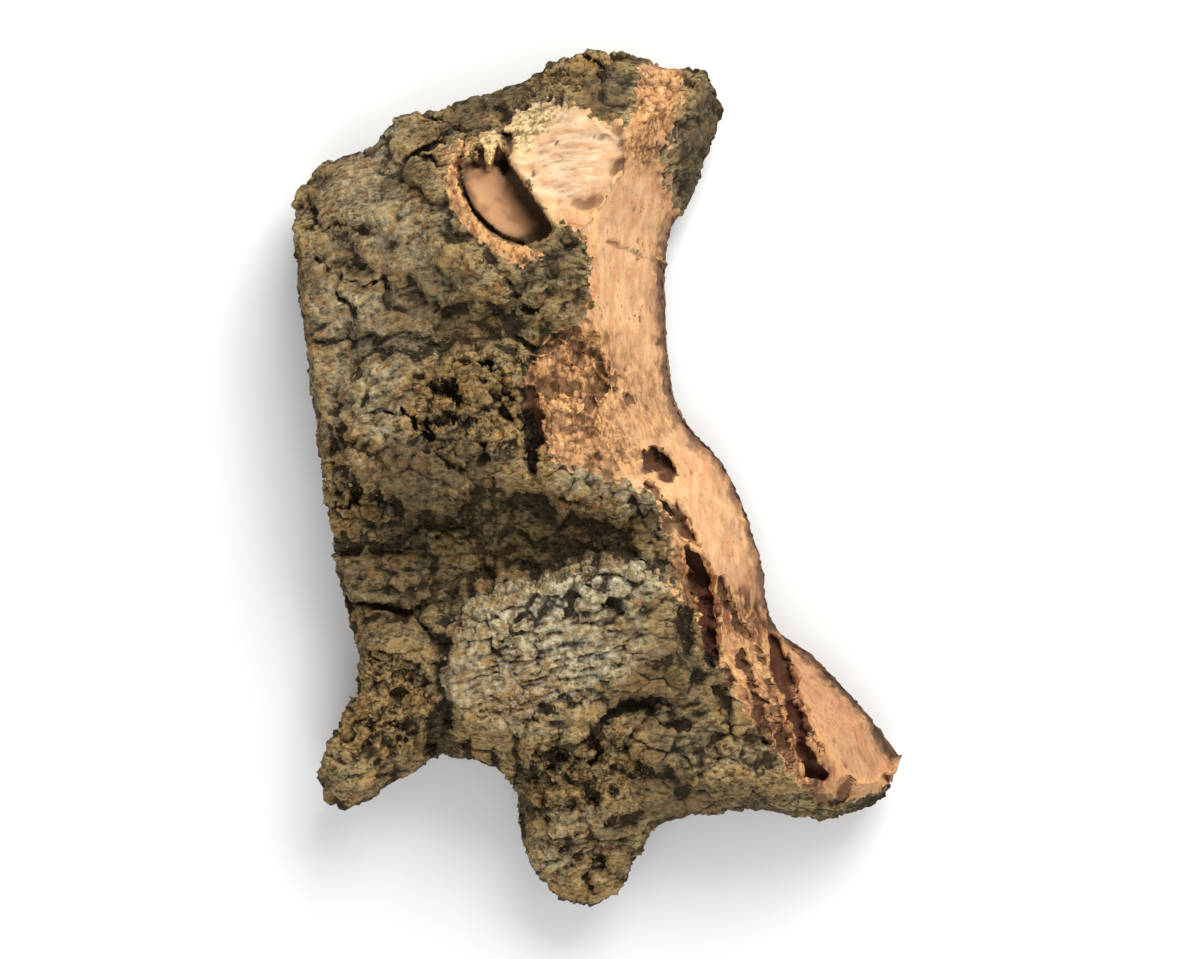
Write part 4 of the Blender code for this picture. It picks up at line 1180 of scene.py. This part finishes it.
def scattered(name, count, sizes, shape, likely, along, seed):
    """One mesh of many crumbs. sizes are the least and greatest half width in millimetres,
    shape is the half length, half width and half height for each unit of that, and along is the
    direction that long ones take, or None for any."""
    draw = np.random.default_rng(seed)
    hosts = draw.choice(vertex_count, count, replace=False, p=likely / likely.sum())
    up = normals[hosts]
    if along is None:
        side = draw.normal(size=(count, 3))
    else:
        side = along + 0.25 * draw.normal(size=(count, 3))
    side = side - up * (side * up).sum(axis=1)[:, None]
    side = side / np.linalg.norm(side, axis=1)[:, None]
    across = np.cross(up, side)
    size = sizes[0] + (sizes[1] - sizes[0]) * draw.random(count) ** 2
    scale = size[:, None] * shape * draw.uniform(0.7, 1.3, (count, 3))
    lumpy = corners[None] * draw.uniform(0.5, 1.2, (count, 12, 1))
    local = lumpy * scale[:, None, :]
    points = places[hosts][:, None] + local[..., :1] * side[:, None] + local[..., 1:2] * across[:, None]
    points = points + (local[..., 2:] + 0.25 * scale[:, None, 2:]) * up[:, None]
    points = points.reshape(-1, 3)
    points[:, 2] = np.maximum(points[:, 2], LOWEST)
    faces = (crumb_faces[None] + 12 * np.arange(count)[:, None, None]).reshape(-1, 3)
    crumb_shares = {key: np.repeat(values[hosts], 12) for key, values in skin_shares.items()}
    tone = draw.uniform(0.05, 0.62, count)
    crumb_shares["gap"] = np.repeat(tone, 12)
    mesh = mesh_of(name, points, faces, crumb_shares)
    piece = bpy.data.objects.new(name, mesh)
    bpy.context.scene.collection.objects.link(piece)
    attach(piece, "root")
    print(name, len(faces), "faces")
    return piece


bare = 1 - np.maximum(skin_shares["fresh"], skin_shares["pocket"])
on_top = (1 - skin_shares["belly"]) * (places[:, 2] > SMALLEST_CLEAR)
fibrous_here = patch_share(places[:, 0], places[:, 1], FIBROUS, 2.0, 261)
likely_crumbs = on_top * bare * (0.15 + skin_shares["gold"]) * (1 - 0.8 * fibrous_here)
likely_flakes = on_top * bare * fibrous_here
loose = [
    scattered("bark_crumbs", 3200, (0.12, 0.42), (1.3, 0.9, 0.5), likely_crumbs, None, 31),
    scattered("bark_flakes", 900, (0.10, 0.24), (3.6, 0.9, 0.5), likely_flakes, fibre_way(25), 32),
]

# %% [markdown]
# ## Helpers for the finish
# A finish is a graph of nodes. These few helpers keep it short: one makes a node and joins
# its inputs, and the others are the moves that the finish is made of. All patterns read
# Object coordinates, so they stay with the slab.
# %% Node helpers
def paint(red, green, blue):
    """A colour as it is seen on a screen, 0 to 255, made linear as the shader wants it."""
    return tuple((value / 255) ** 2.2 for value in (red, green, blue)) + (1.0,)


class Finish:
    """One material, with short names for the nodes that it is made of."""

    def __init__(self, name):
        self.material = bpy.data.materials.new(name)
        self.material.use_nodes = True
        self.tree = self.material.node_tree
        self.shader = self.tree.nodes["Principled BSDF"]
        self.place = self.node("ShaderNodeTexCoord").outputs["Object"]

    def node(self, kind, inputs=None, **settings):
        """A new node with its settings made and its inputs joined."""
        made = self.tree.nodes.new(kind)
        for name, value in settings.items():
            setattr(made, name, value)
        for name, value in (inputs or {}).items():
            self.join(value, made.inputs[name])
        return made

    def join(self, value, socket):
        """Links another node's output to a socket, or sets a plain value on it."""
        if isinstance(value, bpy.types.NodeSocket):
            self.tree.links.new(value, socket)
        else:
            socket.default_value = value

    def share(self, name):
        """One of the mesh's own shares."""
        return self.node("ShaderNodeAttribute", attribute_name=name).outputs["Fac"]

    def placed(self, size, stretch, turn):
        """Object coordinates in units of size millimetres, turned about Z and then stretched."""
        scale = tuple(1 / (MM * (size * part)) for part in stretch)
        inputs = {"Vector": self.place, "Rotation": (0, 0, -math.radians(turn)), "Scale": scale}
        return self.node("ShaderNodeMapping", inputs).outputs["Vector"]

    def grain(self, size, detail=3.0, stretch=(1, 1, 1), turn=0, roughness=0.6):
        """Cloudy grain of about this size in millimetres."""
        inputs = {"Vector": self.placed(size, stretch, turn), "Scale": 1.0}
        inputs.update({"Detail": detail, "Roughness": roughness})
        return self.node("ShaderNodeTexNoise", inputs).outputs["Fac"]

    def cells(self, size, stretch):
        """The distance to the heart of the nearest of scattered cells, about this size."""
        inputs = {"Vector": self.placed(size, stretch, 0), "Scale": 1.0}
        return self.node("ShaderNodeTexVoronoi", inputs, feature="F1").outputs["Distance"]

    def maths(self, operation, first, second):
        """One sum on two numbers."""
        made = self.node("ShaderNodeMath", operation=operation)
        self.join(first, made.inputs[0])
        self.join(second, made.inputs[1])
        return made.outputs["Value"]

    def times(self, first, second):
        """Two numbers multiplied."""
        return self.maths("MULTIPLY", first, second)

    def band(self, value, start, end, low=0.0, high=1.0):
        """low before start, high after end, and an S between."""
        inputs = {"Value": value, "From Min": start, "From Max": end, "To Min": low, "To Max": high}
        return self.node("ShaderNodeMapRange", inputs, interpolation_type="SMOOTHSTEP").outputs["Result"]

    def mix(self, share, first, second, blend="MIX"):
        """The first colour going over to the second by a share."""
        made = self.node("ShaderNodeMix", data_type="RGBA", blend_type=blend)
        self.join(share, made.inputs[0])
        self.join(first, made.inputs[6])
        self.join(second, made.inputs[7])
        return made.outputs[2]

    def over(self, colour, share, power, new):
        """A new colour laid over another by a share, at this power where the share is 1."""
        return self.mix(self.times(share, power), colour, new)


print("half a screen's brightness is", round(paint(128, 128, 128)[0], 2), "of its light")

# %% [markdown]
# ## The finish of the bark
# The finish reads the shares that the skin carries, so it follows the shape exactly. Weathered
# cork itself is a speckle of dark brown and cream at about half a millimetre, with darker and
# warmer patches a few millimetres wide.
# %% Speckled bark
finish = Finish("bark_finish")
on = {name: finish.share(name) for name in shares}
speck = finish.grain(0.62, 4.0, (1.8, 1, 1), 22)
speck_two = finish.grain(0.85, 3.0, (1, 1.3, 1))
patchy = finish.grain(4.2, 3.0, (1.5, 1, 1), 15)
bark = finish.mix(finish.band(speck, 0.37, 0.6), paint(72, 60, 40), paint(158, 138, 102))
bark = finish.over(bark, finish.band(speck_two, 0.55, 0.7), 0.75, paint(190, 170, 130))
bark = finish.over(bark, finish.band(patchy, 0.5, 0.66), 0.6, paint(70, 56, 38))
bark = finish.over(bark, finish.band(patchy, 0.48, 0.32), 0.5, paint(178, 146, 98))
print("the finish reads", len(on), "shares")

# %% [markdown]
# Silver grey takes over on the crests, and gold on crumbs that broke not long ago. A little rust and ochre
# is everywhere, and the dark patches are painted over it, mostly as painted shade.
# %% Grey, gold, rust and dirt
silver = finish.mix(finish.band(speck_two, 0.33, 0.6), paint(124, 115, 93), paint(212, 202, 174))
bark = finish.over(bark, on["grey"], finish.band(finish.grain(0.9, 4.0), 0.36, 0.58), silver)
golden = finish.mix(finish.band(speck, 0.36, 0.6), paint(74, 52, 30), paint(186, 150, 96))
bark = finish.over(bark, on["gold"], finish.band(finish.grain(1.2, 4.0), 0.42, 0.62), golden)
bark = finish.over(bark, finish.band(finish.grain(1.6, 4.0), 0.55, 0.68), 0.65, paint(160, 108, 62))
bark = finish.over(bark, finish.band(finish.grain(8.0, 3.0), 0.46, 0.62), 0.3, paint(150, 112, 66))
# The dark patches: mostly painted shade, laid over the bark.
bark = finish.over(bark, on["shade_and_dark"], 0.62, paint(58, 53, 44))
print("bark:", len(finish.tree.nodes), "nodes")

# %% [markdown]
# Fresh cork is an even pale orange, streaked along its growth and freckled with pores. Low
# down it is rosier, with fine darker lines.
# %% Fresh cork
cork = finish.band(finish.grain(1.1, 4.0, (1, 4, 3), -30), 0.35, 0.65)
cork = finish.mix(cork, paint(204, 151, 107), paint(222, 177, 131))
cork = finish.over(cork, finish.band(finish.grain(3.2, 4.0), 0.52, 0.68), 0.5, paint(206, 140, 94))
cork = finish.over(cork, finish.band(finish.grain(0.6, 2.0), 0.62, 0.7), 0.5, paint(150, 98, 62))
pores = finish.band(finish.cells(1.3, (1, 1.3, 1)), 0.2, 0.1)
pores = finish.times(pores, finish.band(finish.grain(5.0, 2.0), 0.44, 0.6))
cork = finish.over(cork, pores, 0.7, paint(128, 80, 52))
cork = finish.over(cork, on["rosy"], 0.6, paint(172, 122, 88))
rosy_lines = finish.band(finish.grain(0.7, 4.0, (1, 6, 1), 56), 0.5, 0.62)
cork = finish.over(cork, finish.times(rosy_lines, on["rosy"]), 0.5, paint(150, 98, 66))
print("with fresh cork:", len(finish.tree.nodes), "nodes")

# %% [markdown]
# The scar beside the pocket is the palest cork, with thin brown lines across it, and a cream
# crust is left on its upper side.
# %% Scar and crust
scar_colour = finish.band(finish.grain(1.4, 4.0, (2.0, 1, 1), 20), 0.4, 0.62)
scar_colour = finish.mix(scar_colour, paint(212, 170, 132), paint(232, 202, 166))
scar_lines = finish.band(finish.grain(0.8, 3.0, (6, 1, 1), 14), 0.55, 0.64)
scar_colour = finish.over(scar_colour, scar_lines, 0.5, paint(178, 128, 84))
cork = finish.over(cork, on["scar"], 0.8, scar_colour)
crust_grain = finish.band(finish.grain(0.8, 4.0), 0.4, 0.58)
cork = finish.mix(on["crust"], cork, finish.mix(crust_grain, paint(142, 112, 70), paint(216, 192, 144)))
print("with the scar:", len(finish.tree.nodes), "nodes")

# %% [markdown]
# Where cork is torn it shows brown and cream crumbs between dark lines. Purple brown streaks lie beside the
# fissures, and the foot of the break is painted a duller purple brown as painted shade, where the break
# meets the shadow at its bottom.
# %% Torn cork, streaks, foot and pits
torn_grain = finish.grain(1.1, 5.0, (1, 1.6, 1), -24, 0.7)
torn_colour = finish.mix(finish.band(torn_grain, 0.4, 0.54), paint(110, 74, 47), paint(196, 146, 100))
torn_colour = finish.mix(finish.band(torn_grain, 0.57, 0.66), torn_colour, paint(226, 186, 134))
torn_lines = finish.band(finish.grain(0.8, 4.0, (1, 5, 1), 50), 0.54, 0.62)
torn_colour = finish.over(torn_colour, torn_lines, 0.6, paint(98, 60, 40))
cork = finish.over(cork, on["torn"], 0.9, torn_colour)
streak_on = finish.times(on["streak"], finish.band(finish.grain(1.0, 4.0, (1, 6, 3), 15), 0.45, 0.56))
cork = finish.over(cork, streak_on, 0.85, paint(104, 56, 38))
# Painted shade: the foot of the break darkened to a dull purple brown.
cork = finish.mix(on["foot"], cork, paint(112, 84, 68))
cork = finish.mix(on["pits"], cork, paint(96, 58, 38))
print("with torn cork:", len(finish.tree.nodes), "nodes")

# %% [markdown]
# The pocket's skin is an even brown. The belly and the sides are darker cork, and the sides
# show a thin dark line for each year's layer.
# %% Pocket and belly
pocket_grain = finish.band(finish.grain(4.0, 2.0), 0.4, 0.6)
pocket_colour = finish.mix(pocket_grain, paint(150, 110, 78), paint(184, 138, 100))
belly_grain = finish.band(finish.grain(1.6, 4.0, (1, 4, 1)), 0.35, 0.65)
belly_colour = finish.mix(belly_grain, paint(98, 70, 48), paint(158, 116, 80))
rim_lines = finish.band(finish.grain(1.0, 3.0, (9, 9, 0.6)), 0.5, 0.64)
belly_colour = finish.over(belly_colour, rim_lines, 0.6, paint(74, 50, 34))
print("with pocket and belly:", len(finish.tree.nodes), "nodes")

# %% [markdown]
# The fresh share alone would end in a soft blur. A grain added to it before a narrow step
# makes the border as broken as the crumbs that it runs through.
# %% Where the finishes meet
edge_grain = finish.times(finish.maths("SUBTRACT", finish.grain(0.8, 4.0), 0.5), 0.7)
fresh_on = finish.band(finish.maths("ADD", on["fresh"], edge_grain), 0.4, 0.56)
colour = finish.mix(fresh_on, bark, cork)
colour = finish.mix(on["pocket"], colour, pocket_colour)
colour = finish.over(colour, on["belly"], 0.8, belly_colour)
print("joined up:", len(finish.tree.nodes), "nodes")

# %% [markdown]
# Gaps between crumbs are painted dark, painted shade with some dust, more on weathered bark than on fresh.
# The cracks are painted darker still as painted shade, the more the deeper they are, and the crumbs' tops
# get a painted highlight. In the furrow a paler painted light lies on everything, which keeps it readable
# in its own shade.
# %% Gaps, cracks and recesses
# Painted shade in the gaps between crumbs, with some dust.
gap_dark = finish.band(on["gap"], 0.5, 1.0)
colour = finish.over(colour, gap_dark, finish.band(fresh_on, 0.0, 1.0, 0.85, 0.6), paint(34, 28, 18))
# Painted shade in the cracks, darker the deeper they are.
crack_edge = finish.times(finish.maths("SUBTRACT", finish.grain(0.8, 3.0), 0.5), 0.8)
crack_on = finish.band(finish.maths("ADD", on["crack"], crack_edge), 0.3, 1.1, 0.0, 0.85)
colour = finish.mix(crack_on, colour, finish.mix(fresh_on, paint(38, 31, 22), paint(74, 40, 29)))
# A painted highlight on the crumbs' tops, where the gap share is low.
painted_highlight = finish.mix(1.0, colour, paint(236, 226, 196), "SOFT_LIGHT")
colour = finish.over(colour, finish.band(on["gap"], 0.45, 0.1), 0.5, painted_highlight)
# A paler painted light over the recesses, with painted shade in its own gaps, mostly on weathered bark.
recess_power = finish.band(finish.maths("MAXIMUM", fresh_on, on["pocket"]), 0.0, 1.0, 0.6, 0.1)
painted_recess_light = finish.mix(finish.band(speck, 0.38, 0.58), paint(96, 80, 53), paint(190, 166, 120))
painted_recess_light = finish.over(painted_recess_light, gap_dark, 0.6, paint(60, 50, 34))
colour = finish.over(colour, on["recess"], recess_power, painted_recess_light)
finish.join(colour, finish.shader.inputs["Base Color"])
print("colour:", len(finish.tree.nodes), "nodes")

# %% [markdown]
# Dry cork has no gloss to speak of. The pocket's skin is a little smoother. Below what the
# mesh can carry, the grain is a bump: half-millimetre crumbs and a finer grit.
# %% Roughness and bump
finish.join(finish.band(on["pocket"], 0.0, 1.0, 0.93, 0.72), finish.shader.inputs["Roughness"])
finish.shader.inputs["Specular IOR Level"].default_value = 0.22
grit = finish.maths("ADD", finish.grain(0.35, 4.0), finish.times(speck, 0.8))
calm = finish.maths("MAXIMUM", finish.times(fresh_on, 0.7), finish.times(on["pocket"], 0.85))
strength = finish.maths("SUBTRACT", 1.0, calm)
bump = finish.node("ShaderNodeBump", {"Height": grit, "Strength": strength, "Distance": 0.5 * MM})
finish.join(bump.outputs["Normal"], finish.shader.inputs["Normal"])
slab_mesh.materials.clear()
slab_mesh.materials.append(finish.material)
for piece in loose:
    piece.data.materials.append(finish.material)
print("finish:", len(finish.tree.nodes), "nodes")
